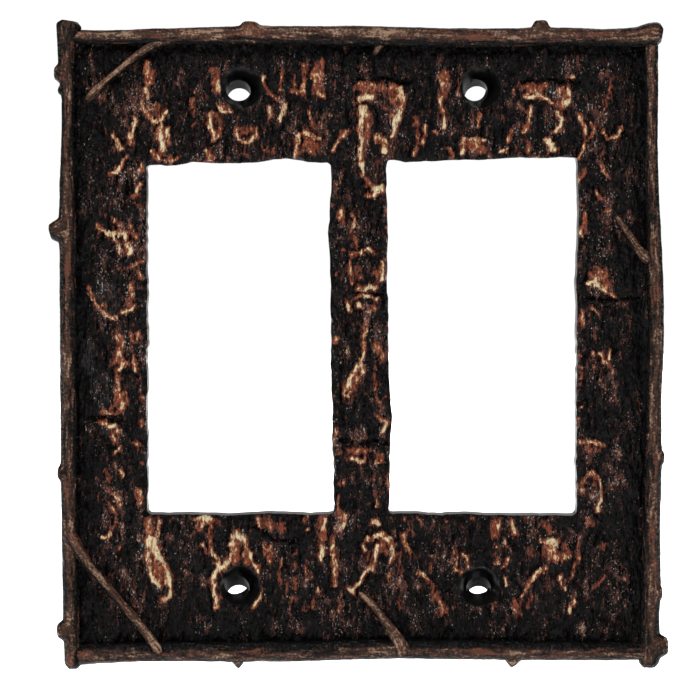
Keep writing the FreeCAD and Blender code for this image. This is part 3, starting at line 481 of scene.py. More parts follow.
class Grid:
    """Vertices of the panel's flat front, where lines along X and Z cross."""

    def __init__(self, xs: Array, zs: Array) -> None:
        """Keep the lines and lay out the crossings."""
        self.xs, self.zs = xs, zs
        self.x, self.z = (a.ravel() for a in np.meshgrid(xs, zs, indexing="ij"))

    def loop(self, left: float, right: float, bottom: float, top: float) -> Array:
        """Crossings round a rectangle, counter-clockwise from the front."""
        a, b = (int(np.argmin(abs(self.xs - e))) for e in (left, right))
        c, d = (int(np.argmin(abs(self.zs - e))) for e in (bottom, top))
        path = [(k, c) for k in range(a, b)] + [(b, k) for k in range(c, d)]
        path += [(k, d) for k in range(b, a, -1)] + [(a, k) for k in range(d, c, -1)]
        return np.array([p * len(self.zs) + q for p, q in path])

    def quads(self, gaps: list[tuple[float, float, float, float]]) -> list[list[int]]:
        """Faces between the lines, except inside the rectangles given."""
        xs, zs, count = self.xs, self.zs, len(self.zs)
        mid_x, mid_z = np.meshgrid((xs[:-1] + xs[1:]) / 2, (zs[:-1] + zs[1:]) / 2, indexing="ij")
        kept = np.ones(mid_x.shape, bool)
        for left, right, bottom, top in gaps:
            kept &= ~((mid_x > left) & (mid_x < right) & (mid_z > bottom) & (mid_z < top))
        i, j = np.nonzero(kept)
        corner = i * count + j
        return np.stack([corner, corner + count, corner + count + 1, corner + 1], axis=1).tolist()


class Skin:
    """Vertices and quads of the panel while it is laid out, in millimetres."""

    def __init__(self) -> None:
        """Start empty."""
        self.parts: list[Array] = []
        self.faces: list[list[int]] = []
        self.count = 0

    def add(self, x: Array, z: Array, level: float = 0.0) -> Array:
        """New vertices at one depth; returns their numbers."""
        self.parts.append(np.stack([x, np.full(len(x), level), z], axis=1))
        self.count += len(x)
        return np.arange(self.count - len(x), self.count)

    def band(self, first: Array, second: Array) -> None:
        """Quads between two loops of the same length."""
        nxt = np.roll(np.arange(len(first)), -1)
        self.faces.extend(np.stack([first, first[nxt], second[nxt], second], axis=1).tolist())

    def wall(self, start: Array, x: Array, z: Array, levels: tuple[float, ...]) -> Array:
        """Straight wall from a loop through the levels; returns its last loop."""
        for level in levels:
            following = self.add(x, z, level)
            self.band(start, following)
            start = following
        return start

    def collar(self, ring: Array, x: Array, z: Array, level: float, foot: float) -> Array:
        """Flat rim from a loop out to a larger one, then a wall down to its foot."""
        outer = self.add(x, z, level)
        self.band(ring, outer)
        return self.wall(outer, x, z, (foot,))

    def places(self) -> Array:
        """All vertices, in order."""
        return np.concatenate(self.parts)


@dataclass
class BarkPanel:
    """The cast panel: bark front, two openings, four countersunk holes and a hollow back."""

    node: str = "bark_panel"
    slot: str = "bark"
    half_width: float = 56.4
    low: float = -61.4
    high: float = 58.3
    depth: float = 7.0  # wall plane to the mean bark face
    pitch: float = 0.33  # mesh spacing over the front
    holes: tuple[ScrewHole, ...] = (
        ScrewHole(-23.5, -48.6, (-0.85, 0.3), (0.3, -3.3)),
        ScrewHole(-23.02, 48.42, (-0.75, 0.0), (0.1, -2.3)),
        ScrewHole(23.2, -48.7, (0.0, 0.3), (0.1, -3.4)),
        ScrewHole(23.3, 48.42, (-1.2, 0.0), (0.6, -1.9)),
    )
    bore: float = 2.4
    mouth: float = 4.1
    mouth_slope: float = 2.2
    bore_levels: tuple[tuple[float, float], ...] = ((0.33, -4.2), (0.66, -3.1), (1.0, -2.0))  # share, y
    patch: float = 5.0  # half side of the square mesh patch round a hole
    rings: int = 15
    ring_growth: float = 1.1
    strap: float = 2.0  # lips and bosses end this far from the wall
    recess: float = 4.2
    rim: float = 4.0
    lip: float = 2.0
    boss: float = 5.6
    crease: float = 52.0  # edges sharper than this stay sharp, degrees
    relief: BarkRelief = field(default_factory=BarkRelief)
    openings: tuple[Opening, ...] = (
        Opening(-41.6, -5.8, -34.6, 34.4,
                right_run=((-34.0, 0.5), (-10.0, 0.2), (5.0, 0.0), (20.0, -0.3), (34.0, 0.1)),
                top_run=((-41.0, -0.75), (-36.0, -0.9), (-33.0, -0.3), (-24.0, -0.7), (-15.0, 0.2),
                         (-6.0, -0.4))),
        Opening(5.5, 42.15, -34.6, 34.4,
                left_run=((-30.0, 0.1), (-15.0, 0.5), (-10.0, 0.2), (3.0, 0.0), (15.0, -0.3),
                          (31.0, -0.4)),
                top_run=((7.0, 0.1), (9.0, -0.2), (20.0, 0.2), (31.0, 0.6), (40.0, 0.7))),
    )

    def lines(self, marks: list[float]) -> Array:
        """Evenly spaced lines that fall on every mark."""
        marks = sorted(marks)
        runs = [np.linspace(a, b, max(2, round((b - a) / self.pitch) + 1))[:-1]
                for a, b in zip(marks, marks[1:])]
        return np.concatenate([*runs, [marks[-1]]])

    def square(self, hole: ScrewHole) -> tuple[float, float, float, float]:
        """Left, right, bottom and top of the mesh patch round a hole."""
        return hole.x - self.patch, hole.x + self.patch, hole.z - self.patch, hole.z + self.patch

    def grid(self) -> Grid:
        """Lines over the front that fall on every edge, opening and patch."""
        marks_x = [-self.half_width, self.half_width]
        marks_x += [e for o in self.openings for e in (o.left, o.right)]
        marks_z = [self.low, self.high, self.openings[0].bottom, self.openings[0].top]
        marks_x += sorted({e for h in self.holes for e in self.square(h)[:2]})
        marks_z += sorted({e for h in self.holes for e in self.square(h)[2:]})
        return Grid(self.lines(marks_x), self.lines(marks_z))

    def build(self) -> bpy.types.Object:
        """Make the closed mesh with its paint attributes.

        Returns:
            The panel's object.
        """
        grid, skin = self.grid(), Skin()
        skin.add(grid.x, grid.z)
        skin.faces = grid.quads([(o.left, o.right, o.bottom, o.top) for o in self.openings]
                                + [self.square(h) for h in self.holes])
        bores = self.hole_rings(grid, skin)
        fields = self.carve(skin)
        loops, walls, tubes = self.back(grid, skin, bores)
        spare = np.zeros(skin.count - len(fields["front"]))
        fields = {name: np.concatenate([values, spare]) for name, values in fields.items()}
        fields["bare"] = np.zeros(skin.count)
        fields["bare"][walls] = 1.0
        fields["sunk"][tubes] = 0.35
        return self.solid(skin.places() * MM, skin.faces, loops, fields)

    def hole_rings(self, grid: Grid, skin: Skin) -> list[Array]:
        """Fill each patch with rings, from the bore out to the square.

        Args:
            grid: the front's crossings.
            skin: the mesh so far, which gains the rings.

        Returns:
            Each bore's rim.
        """
        rims = []
        for h in self.holes:
            outer = grid.loop(*self.square(h))
            ox, oz = grid.x[outer], grid.z[outer]
            turn = np.arctan2(oz - h.z, ox - h.x)
            bx = h.x + h.start[0] + self.bore * np.cos(turn)
            bz = h.z + h.start[1] + self.bore * np.sin(turn)
            shares = [(k / self.rings) ** self.ring_growth for k in range(self.rings)]
            rings = [skin.add(bx * (1 - s) + ox * s, bz * (1 - s) + oz * s) for s in shares]
            for ring, nearer in zip(rings[1:] + [outer], rings):
                skin.band(ring, nearer)
            rims.append(rings[0])
        return rims

    def carve(self, skin: Skin) -> dict[str, Array]:
        """Move the flat front to the bark's relief, round its edges and sink the screw holes.

        Args:
            skin: the mesh so far, which holds the front only.

        Returns:
            The paint attributes of the front.
        """
        flat = skin.places()
        x, z = flat[:, 0], flat[:, 2]
        ragged = Noise(5)
        moves = [o.shift(x, z, ragged) for o in self.openings]
        x, z = x + sum(m[0] for m in moves), z + sum(m[1] for m in moves)
        fields = self.relief.shape(x, z)
        rounding, rooted, sunk = np.zeros_like(x), np.ones_like(x), np.zeros_like(x)
        for o, (dx, dz) in zip(self.openings, moves):
            gap = o.gap(x - dx, z - dz)
            rounding = np.maximum(rounding, np.exp(-((gap / 0.4) ** 2)))
            rooted = np.minimum(rooted, smooth(gap, 0.9, 1.1))
        height = fields.pop("height") - 0.35 * rounding
        for h in self.holes:
            radius = np.hypot(x - h.x, z - h.z)
            near = radius < self.patch
            worn_rim = self.mouth + 0.28 * ragged.at(x[near] / 1.1, z[near] / 1.1)
            height[near] = np.minimum(height[near], (radius[near] - worn_rim) * self.mouth_slope)
            hole = 1 - smooth(radius, self.mouth - 0.35, self.mouth + 0.15)
            sunk = np.maximum(sunk, hole)
            rooted = np.minimum(rooted, smooth(radius, self.mouth + 1.0, self.mouth + 1.2))
            for name in ("cream", "rust", "plate"):
                fields[name] = fields[name] * (1 - hole)
        skin.parts = [np.stack([x, -(self.depth + height), z], axis=1)]
        return {**fields, "front": 1 - sunk, "rooted": rooted, "sunk": sunk}

    def back(self, grid: Grid, skin: Skin,
             bores: list[Array]) -> tuple[list[Array], list[int], list[int]]:
        """Close the sides, the openings and the bores, down to the floor of the hollow.

        Args:
            grid: the front's crossings.
            skin: the mesh so far, which gains everything behind the front.
            bores: each bore's rim.

        Returns:
            The loops that bound the hollow's floor, the vertices of the openings' walls and those of
            the bores.
        """
        front = skin.places()
        x, z = front[:, 0], front[:, 2]
        edge = grid.loop(-self.half_width, self.half_width, self.low, self.high)
        ex, ez = x[edge], z[edge]
        mid, half = (self.low + self.high) / 2, (self.high - self.low) / 2
        ring = skin.wall(edge, ex, ez, (-self.depth / 2, 0.0))
        ix = ex * (self.half_width - self.rim) / self.half_width
        iz = mid + (ez - mid) * (half - self.rim) / half
        loops, walls, tubes = [skin.collar(ring, ix, iz, 0.0, -self.recess)], [], []
        for o in self.openings:
            rim = grid.loop(o.left, o.right, o.bottom, o.top)
            rx, rz = x[rim], z[rim]
            start = skin.count
            ring = skin.wall(rim, rx, rz, (-5.6, -4.4, -3.2, -self.strap))
            walls += range(start, skin.count - len(rim))
            cx, cz = (o.left + o.right) / 2, (o.bottom + o.top) / 2
            wide, tall = 1 + 2 * self.lip / (o.right - o.left), 1 + 2 * self.lip / (o.top - o.bottom)
            loops.append(skin.collar(ring, cx + (rx - cx) * wide, cz + (rz - cz) * tall, -self.strap,
                                     -self.recess))
        out = self.boss / self.bore
        for h, ring in zip(self.holes, bores):
            rx, rz = x[ring], z[ring]
            start = skin.count
            for share, level in self.bore_levels:
                ring = skin.wall(ring, rx + h.slant[0] * share, rz + h.slant[1] * share, (level,))
            tubes += range(start, skin.count)
            loops.append(skin.collar(ring, h.x + (rx - h.x - h.start[0]) * out,
                                     h.z + (rz - h.z - h.start[1]) * out, -self.strap, -self.recess))
        return loops, walls, tubes

    def splinters(self, panel: bpy.types.Object, material: bpy.types.Material) -> bpy.types.Object:
        """Small raised splinters all over the bark."""
        ground = put("splinter_ground", panel.data.copy())
        mesh = SplinterNodes().apply(
            ground, "bark_splinters", Gap=0.50 * MM, Density=0.8 / MM**2,
            Smallest=Vector((0.11, 0.11, 0.22)) * MM, Largest=Vector((0.30, 0.28, 0.90)) * MM, Lean=0.5,
            Seed=7, Material=material)
        return put("bark_splinters", mesh)

    def solid(self, places: Array, faces: list[list[int]], loops: list[Array],
              fields: dict[str, Array]) -> bpy.types.Object:
        """Close the hollow's floor, drop unused vertices and store the paint attributes."""
        used = np.zeros(len(places), bool)
        used[np.unique(np.array(faces))] = True
        new = np.cumsum(used) - 1
        mesh = bpy.data.meshes.new(self.node)
        mesh.from_pydata(places[used].tolist(), [], new[np.array(faces)].tolist())
        shell = bmesh.new()
        shell.from_mesh(mesh)
        shell.verts.ensure_lookup_table()
        edges = []
        for ring in loops:
            ids = new[ring]
            for a, b in zip(ids, np.roll(ids, -1)):
                edges.append(shell.edges.get((shell.verts[a], shell.verts[b])))
        bmesh.ops.triangle_fill(shell, use_beauty=True, use_dissolve=False, edges=edges,
                                normal=(0.0, 1.0, 0.0))
        bmesh.ops.recalc_face_normals(shell, faces=shell.faces)
        shell.to_mesh(mesh)
        shell.free()
        for name, values in fields.items():
            store(mesh, name, values[used])
        finish_mesh(mesh, self.crease)
        return put(self.node + "_bark", mesh)


def put(name: str, data: bpy.types.ID) -> bpy.types.Object:
    """A new object in the scene."""
    made = bpy.data.objects.new(name, data)
    bpy.context.scene.collection.objects.link(made)
    return made


def store(mesh: bpy.types.Mesh, name: str, values: Array) -> None:
    """Keep one number for each vertex."""
    mesh.attributes.new(name, "FLOAT", "POINT").data.foreach_set("value", values.astype(np.float32))


def finish_mesh(mesh: bpy.types.Mesh, crease: float) -> None:
    """Shade smooth, except over edges sharper than the crease in degrees."""
    mesh.polygons.foreach_set("use_smooth", np.ones(len(mesh.polygons), bool))
    mesh.set_sharp_from_angle(angle=math.radians(crease))
    mesh.update()


class Wiring:
    """Adds nodes to one node tree."""

    def __init__(self, tree: bpy.types.NodeTree) -> None:
        """Keep the tree."""
        self.tree = tree

    def node(self, kind: str, settings: dict[str, object] | None = None,
             **values: object) -> bpy.types.Node:
        """Add a node, set it up, and fill its sockets with values or links.

        Args:
            kind: the node's type.
            settings: its properties.
            values: its sockets by number, as in i0, or by name with underscores for spaces.

        Returns:
            The node.
        """
        made = self.tree.nodes.new(kind)
        for key, value in (settings or {}).items():
            setattr(made, key, value)
        for name, value in values.items():
            numbered = name[0] == "i" and name[1:].isdigit()
            socket = made.inputs[int(name[1:])] if numbered else made.inputs[name.replace("_", " ")]
            if isinstance(value, Value):
                value = value.socket
            if isinstance(value, Socket):
                self.tree.links.new(value, socket)
            else:
                socket.default_value = value
        return made

    def noise(self, place: Socket, scale: float, detail: float, rough: float) -> Socket:
        """Noise from 0 to 1 about 0.5."""
        return self.node("ShaderNodeTexNoise", {"noise_dimensions": "3D"}, Vector=place, Scale=scale,
                         Detail=detail, Roughness=rough).outputs[0]


class ShapeNodes(Wiring):
    """A Geometry Nodes tree with named inputs."""

    def __init__(self, name: str, inputs: tuple[tuple[str, str], ...]) -> None:
        """Start a tree that takes a geometry and the named inputs.

        Args:
            name: the tree's name.
            inputs: each input's name and kind, such as Float.
        """
        super().__init__(bpy.data.node_groups.new(name, "GeometryNodeTree"))
        face = self.tree.interface
        face.new_socket("Geometry", in_out="INPUT", socket_type="NodeSocketGeometry")
        for label, kind in inputs:
            face.new_socket(label, in_out="INPUT", socket_type="NodeSocket" + kind)
        face.new_socket("Geometry", in_out="OUTPUT", socket_type="NodeSocketGeometry")
        self.given = self.tree.nodes.new("NodeGroupInput").outputs

    def math(self, operation: str, *terms: object) -> Socket:
        """One Math node."""
        values = {f"i{k}": term for k, term in enumerate(terms)}
        return self.node("ShaderNodeMath", {"operation": operation}, **values).outputs[0]

    def triple(self, x: object, y: object, z: object) -> Socket:
        """A vector from three numbers."""
        return self.node("ShaderNodeCombineXYZ", None, X=x, Y=y, Z=z).outputs[0]

    def end(self, geometry: Socket) -> None:
        """Realize, shade smooth, set the material and give the result out."""
        real = self.node("GeometryNodeRealizeInstances", None, Geometry=geometry).outputs[0]
        soft = self.node("GeometryNodeSetShadeSmooth", None, Geometry=real).outputs[0]
        painted = self.node("GeometryNodeSetMaterial", None, Geometry=soft,
                            Material=self.given["Material"]).outputs[0]
        self.tree.links.new(painted, self.tree.nodes.new("NodeGroupOutput").inputs[0])

    def apply(self, owner: bpy.types.Object, name: str, **values: object) -> bpy.types.Mesh:
        """Run the tree on an object.

        Args:
            owner: the object whose data goes in; it is removed.
            name: the new mesh's name.
            values: the tree's inputs, by name with underscores for spaces.

        Returns:
            The result as a plain mesh.
        """
        keys = {item.name: item.identifier for item in self.tree.interface.items_tree
                if item.in_out == "INPUT"}
        modifier = owner.modifiers.new("shape", "NODES")
        modifier.node_group = self.tree
        for label, value in values.items():
            modifier[keys[label.replace("_", " ")]] = value
        graph = bpy.context.evaluated_depsgraph_get()
        mesh = bpy.data.meshes.new_from_object(owner.evaluated_get(graph), depsgraph=graph)
        mesh.name = name
        owner.modifiers.remove(modifier)
        bpy.data.objects.remove(owner)
        return mesh


class RodNodes(ShapeNodes):
    """Grows a grained rod of wood along a route."""

    def __init__(self) -> None:
        """Build the tree once; every twig and shoot uses it."""
        super().__init__("grained_rod", (
            ("Ring Gap", "Float"), ("Sides", "Int"), ("Grain Height", "Float"), ("Grain Turns", "Float"),
            ("Grain Length", "Float"), ("Swell Height", "Float"), ("Seed", "Float"),
            ("Material", "Material")))
        tube, around, along = self.tube()
        turn = self.math("MULTIPLY", around, math.tau)
        cos, sin = self.math("COSINE", turn), self.math("SINE", turn)
        turns = self.given["Grain Turns"]
        run = self.math("ADD", self.math("DIVIDE", along, self.given["Grain Length"]), self.given["Seed"])
        place = self.triple(self.math("MULTIPLY", cos, turns), self.math("MULTIPLY", sin, turns), run)
        grain = self.noise(place, 1.0, 3.0, 0.6)
        swell = self.noise(place, 0.33, 1.0, 0.5)
        lift = self.math("ADD", self.waves(grain, "Grain Height"), self.waves(swell, "Swell Height"))
        normal = self.tree.nodes.new("GeometryNodeInputNormal").outputs[0]
        offset = self.node("ShaderNodeVectorMath", {"operation": "SCALE"}, i0=normal, i3=lift).outputs[0]
        rod = self.node("GeometryNodeSetPosition", None, Geometry=tube, Offset=offset).outputs[0]
        rod = self.keep(rod, "lie", "FLOAT_VECTOR", self.triple(cos, sin, along))
        self.end(self.keep(rod, "grain", "FLOAT", grain))

    def tube(self) -> tuple[Socket, Socket, Socket]:
        """The plain rod, and how far round and along it each vertex lies."""
        route = self.node("GeometryNodeResampleCurve", {"mode": "LENGTH"}, Curve=self.given["Geometry"],
                          Length=self.given["Ring Gap"])
        route, along = self.capture(route.outputs[0], "Length")
        ring = self.node("GeometryNodeCurvePrimitiveCircle", {"mode": "RADIUS"},
                         Resolution=self.given["Sides"], Radius=1.0)
        ring, around = self.capture(ring.outputs[0], "Factor")
        radius = self.tree.nodes.new("GeometryNodeInputRadius").outputs[0]
        rod = self.node("GeometryNodeCurveToMesh", None, Curve=route, Profile_Curve=ring, Scale=radius,
                        Fill_Caps=True).outputs[0]
        return rod, around, along

    def capture(self, geometry: Socket, output: str) -> tuple[Socket, Socket]:
        """Keep a spline parameter on the points of a curve."""
        made = self.tree.nodes.new("GeometryNodeCaptureAttribute")
        made.capture_items.new("FLOAT", output)
        spline = self.tree.nodes.new("GeometryNodeSplineParameter")
        self.tree.links.new(geometry, made.inputs[0])
        self.tree.links.new(spline.outputs[output], made.inputs[1])
        return made.outputs[0], made.outputs[1]

    def waves(self, noise: Socket, height: str) -> Socket:
        """Noise about zero, as high as the named input says."""
        return self.math("MULTIPLY", self.math("SUBTRACT", noise, 0.5), self.given[height])

    def keep(self, geometry: Socket, name: str, kind: str, value: Socket) -> Socket:
        """Store a value on the vertices for the material."""
        return self.node("GeometryNodeStoreNamedAttribute", {"data_type": kind, "domain": "POINT"},
                         Geometry=geometry, Name=name, Value=value).outputs[0]


class SplinterNodes(ShapeNodes):
    """Scatters small upright splinters over the bark; they keep its paint."""

    def __init__(self) -> None:
        """Build the tree."""
        super().__init__("bark_splinters", (
            ("Gap", "Float"), ("Density", "Float"), ("Smallest", "Vector"), ("Largest", "Vector"),
            ("Lean", "Float"), ("Seed", "Int"), ("Material", "Material")))
        given = self.given
        rooted, wear_and_frame_shade = (self.node("GeometryNodeInputNamedAttribute", {"data_type": "FLOAT"},
                                  Name=name).outputs[0] for name in ("rooted", "wear_and_frame_shade"))
        raised = self.node("ShaderNodeMapRange", None, i0=wear_and_frame_shade, i1=-1.3, i2=0.2, i3=0.15,
                           i4=1.0).outputs[0]
        share = self.math("MULTIPLY", self.math("GREATER_THAN", rooted, 0.97), raised)
        spots = self.node("GeometryNodeDistributePointsOnFaces", {"distribute_method": "POISSON"},
                          Mesh=given["Geometry"], Distance_Min=given["Gap"], Density_Max=given["Density"],
                          Density_Factor=share, Seed=given["Seed"]).outputs[0]
        splinter = self.node("GeometryNodeMeshIcoSphere", None, Radius=1.0, Subdivisions=1).outputs[0]
        lean = self.node("FunctionNodeRandomValue", {"data_type": "FLOAT"},
                         i2=self.math("MULTIPLY", given["Lean"], -1.0), i3=given["Lean"],
                         Seed=given["Seed"]).outputs[1]
        turn = self.triple(self.math("MULTIPLY", lean, 0.6), lean, lean)
        size = self.node("FunctionNodeRandomValue", {"data_type": "FLOAT_VECTOR"}, i0=given["Smallest"],
                         i1=given["Largest"], Seed=self.math("ADD", given["Seed"], 1.0)).outputs[0]
        self.end(self.node("GeometryNodeInstanceOnPoints", None, Points=spots, Instance=splinter,
                           Rotation=turn, Scale=size).outputs[0])


@dataclass(frozen=True)
class Knot:
    """A knot or a cut side stub that stands out of a twig."""

    x: float
    z: float
    lean: float  # degrees from +X, in the plane of the plate
    radius: float
    reach: float  # from the twig's middle, mm
    toward: float = 0.0  # how far it leans to the viewer, degrees
    dish: float = 0.25
    point: float = 0.0  # how steeply the tip falls to its rim

    def push(self, places: Array, depth: float) -> Array:
        """Move the twig's skin out over the knot.

        Args:
            places: vertex places in millimetres, changed in place.
            depth: depth of the twig's middle.

        Returns:
            How much each vertex belongs to the knot's rim, from 0 to 1.
        """
        lean, toward = math.radians(self.lean), math.radians(self.toward)
        out = np.array([math.cos(lean) * math.cos(toward), -math.sin(toward),
                        math.sin(lean) * math.cos(toward)])
        rel = places - np.array([self.x + DRAWING_SHIFT, -depth, self.z])
        rise = rel @ out
        aside = np.linalg.norm(rel - rise[:, None] * out, axis=1)
        swell = np.exp(-((aside / (self.radius * 1.35)) ** 2)) * (rise > 0)
        share = (1 - smooth(aside, self.radius * 0.72, self.radius * 1.18)) * (rise > 0)
        hollow = self.dish * np.clip(1 - (aside / (self.radius * 0.5)) ** 2, 0.0, 1.0)
        dome = 0.35 * aside**2 / self.radius + self.point * aside
        gain = np.maximum(self.reach - hollow - dome - rise, 0.0) * share
        places += (gain + swell * 0.30 * (1 - share))[:, None] * out
        return share * smooth(aside, self.radius * 0.35, self.radius * 0.8)


@dataclass(frozen=True)
class Twig:
    """A rod of wood: places and radii down its middle, and its knots."""

    node: str
    stations: tuple[tuple[float, float, float], ...]  # x, z and radius, mm
    knots: tuple[Knot, ...] = ()
    depth: float = 7.5
    ring_gap: float = 0.34
    sides: int = 56
    grain_height: float = 0.34
    grain_turns: float = 4.2
    grain_length: float = 2.6
    swell_height: float = 0.30
    climb: tuple[float, float] = (0.0, 0.0)  # how far each end rises over the frame, mm
    lit: float = 22.0  # degrees over straight ahead of the side painted palest: painted light from above, and dry brushing
    lit_side_paleness: float = 0.0  # how much paler the lit side is painted, partly as painted light; below zero, darker
    slot: str = "twig"
    crease: float = 60.0  # edges sharper than this stay sharp, degrees

    def route(self) -> bpy.types.Object:
        """The twig's middle as a smooth curve that carries its radius."""
        curve = bpy.data.curves.new(self.node + "_route", "CURVE")
        curve.dimensions = "3D"
        places = np.array([(x + DRAWING_SHIFT, z, r) for x, z, r in self.stations])
        length = np.concatenate([[0.0], np.cumsum(np.hypot(*np.diff(places[:, :2], axis=0).T))])
        steps = np.linspace(0.0, length[-1], max(12, int(length[-1] / 0.8)))
        spline = curve.splines.new("POLY")
        spline.points.add(len(steps) - 1)
        smoothed = [self.ease(steps, length, places[:, k]) for k in range(3)]
        rise = (self.climb[0] * (1 - smooth(steps, 0.5, 4.5))
                + self.climb[1] * smooth(steps - length[-1], -4.5, -0.5))
        for point, x, z, r, over in zip(spline.points, *smoothed, rise):
            point.co = (x * MM, -(self.level(r) + over) * MM, z * MM, 1.0)
            point.radius = r * MM
        return put(self.node + "_route", curve)

    def level(self, radius: float) -> float:
        """Depth of the middle: frame twigs keep one depth, shoots rest on the bark."""
        return self.depth if self.depth else 7.15 + 0.6 * radius

    @staticmethod
    def ease(steps: Array, length: Array, values: Array) -> Array:
        """Cubic interpolation through the stations, with no overshoot at the ends."""
        slope = np.gradient(values, length)
        index = np.clip(np.searchsorted(length, steps, side="right") - 1, 0, len(length) - 2)
        span = length[index + 1] - length[index]
        t = (steps - length[index]) / span
        a, b = values[index], values[index + 1]
        ma, mb = slope[index] * span * 0.8, slope[index + 1] * span * 0.8
        return ((2 * t**3 - 3 * t**2 + 1) * a + (t**3 - 2 * t**2 + t) * ma
                + (3 * t**2 - 2 * t**3) * b + (t**3 - t**2) * mb)

    def build(self, nodes: RodNodes, material: bpy.types.Material, seed: float) -> bpy.types.Object:
        """Grow the rod, push out its knots and store its paint attributes.

        Args:
            nodes: the shared Geometry Nodes tree.
            material: the wood finish.
            seed: shifts the grain, so that no two twigs match.

        Returns:
            The twig's object, with plain mesh data.
        """
        mesh = nodes.apply(
            self.route(), self.node, Ring_Gap=self.ring_gap * MM, Sides=self.sides,
            Grain_Height=self.grain_height * MM, Grain_Turns=self.grain_turns,
            Grain_Length=self.grain_length * MM, Swell_Height=self.swell_height * MM, Seed=seed,
            Material=material)
        places = np.empty(len(mesh.vertices) * 3)
        mesh.vertices.foreach_get("co", places)
        places = places.reshape(-1, 3) / MM
        rim = np.zeros(len(places))
        for knot in self.knots:
            rim = np.maximum(rim, knot.push(places, self.level(1.0)))
        places[:, 1] = np.clip(places[:, 1], -FRONT_LIMIT, None)
        mesh.vertices.foreach_set("co", (places * MM).ravel())
        mesh.update()
        normals = np.empty(len(mesh.vertices) * 3)
        mesh.vertex_normals.foreach_get("vector", normals)
        # crest is painted light as well as dry brushing: the side facing the light is painted paler, the
        # side away from it darker
        lit = math.radians(self.lit)
        facing = normals.reshape(-1, 3) @ np.array([0.0, -math.cos(lit), math.sin(lit)])
        crest = np.clip(facing, 0.0, 1.0) ** 2.0
        crest += self.lit_side_paleness * (crest > 0)
        store(mesh, "knot", rim)
        store(mesh, "crest", crest)
        finish_mesh(mesh, self.crease)
        return put(self.node + "_wood", mesh)


class Value:
    """A number that varies over a surface; arithmetic on it adds Math nodes."""

    def __init__(self, shop: "PaintShop", socket: Socket) -> None:
        """Wrap a socket."""
        self.shop, self.socket = shop, socket

    def apply(self, operation: str, *terms: object) -> "Value":
        """One Math node over the terms."""
        sockets = {f"i{k}": t.socket if isinstance(t, Value) else t for k, t in enumerate(terms)}
        made = self.shop.node("ShaderNodeMath", {"operation": operation}, **sockets)
        return Value(self.shop, made.outputs[0])

    def __add__(self, other: object) -> "Value":
        """Sum."""
        return self.apply("ADD", self, other)

    __radd__ = __add__

    def __sub__(self, other: object) -> "Value":
        """Difference."""
        return self.apply("SUBTRACT", self, other)

    def __rsub__(self, other: object) -> "Value":
        """Difference from a plain number."""
        return self.apply("SUBTRACT", other, self)

    def __mul__(self, other: object) -> "Value":
        """Product."""
        return self.apply("MULTIPLY", self, other)

    def step(self, low: float, high: float) -> "Value":
        """Smooth step from 0 at low to 1 at high."""
        ramp = self.shop.node("ShaderNodeMapRange", {"interpolation_type": "SMOOTHSTEP"}, i0=self.socket,
                              i1=low, i2=high, i3=0.0, i4=1.0)
        return Value(self.shop, ramp.outputs[0])


class PaintShop(Wiring):
    """Builds one material."""

    spread = 8  # brings noise that stays near 0.5 to about -1 to 1

    def __init__(self, name: str) -> None:
        """Start from an empty node tree."""
        self.material = bpy.data.materials.new(name)
        self.material.use_nodes = True
        super().__init__(self.material.node_tree)
        self.tree.nodes.clear()

    def attribute(self, name: str) -> Value:
        """A number stored on the mesh."""
        return Value(self, self.node("ShaderNodeAttribute", {"attribute_name": name}).outputs["Fac"])

    def lie(self) -> Socket:
        """The place round and along a rod, stored on its mesh."""
        return self.node("ShaderNodeAttribute", {"attribute_name": "lie"}).outputs["Vector"]

    def place(self) -> Socket:
        """Object coordinates, in metres."""
        return self.node("ShaderNodeTexCoord").outputs["Object"]

    def stretched(self, place: Socket, scale: Place) -> Socket:
        """Coordinates scaled along each axis."""
        return self.node("ShaderNodeMapping", None, Vector=place, Scale=scale).outputs[0]

    def patches(self, place: Socket, scale: float, detail: float) -> Value:
        """Noise spread to about -1 to 1 round zero, for uneven paint and small bumps."""
        return (Value(self, self.noise(place, scale, detail, 0.6)) - 0.5) * self.spread

    def mix(self, share: Value, first: object, second: object) -> Socket:
        """Colour between two, which are plain colours or links."""
        made = self.node("ShaderNodeMix", {"data_type": "RGBA"}, i0=share)
        for socket, value in ((made.inputs[6], first), (made.inputs[7], second)):
            if isinstance(value, Socket):
                self.tree.links.new(value, socket)
            else:
                socket.default_value = (*value, 1.0)
        return made.outputs[2]

    def bump(self, height: Value, distance: float) -> Socket:
        """Normal of fine relief."""
        made = self.node("ShaderNodeBump", None, Height=height, Strength=1.0, Distance=distance)
        return made.outputs[0]

    def surface(self, **values: object) -> bpy.types.Material:
        """Finish with a Principled shader."""
        shader = self.node("ShaderNodeBsdfPrincipled", None, **values)
        self.node("ShaderNodeOutputMaterial", None, Surface=shader.outputs[0])
        return self.material


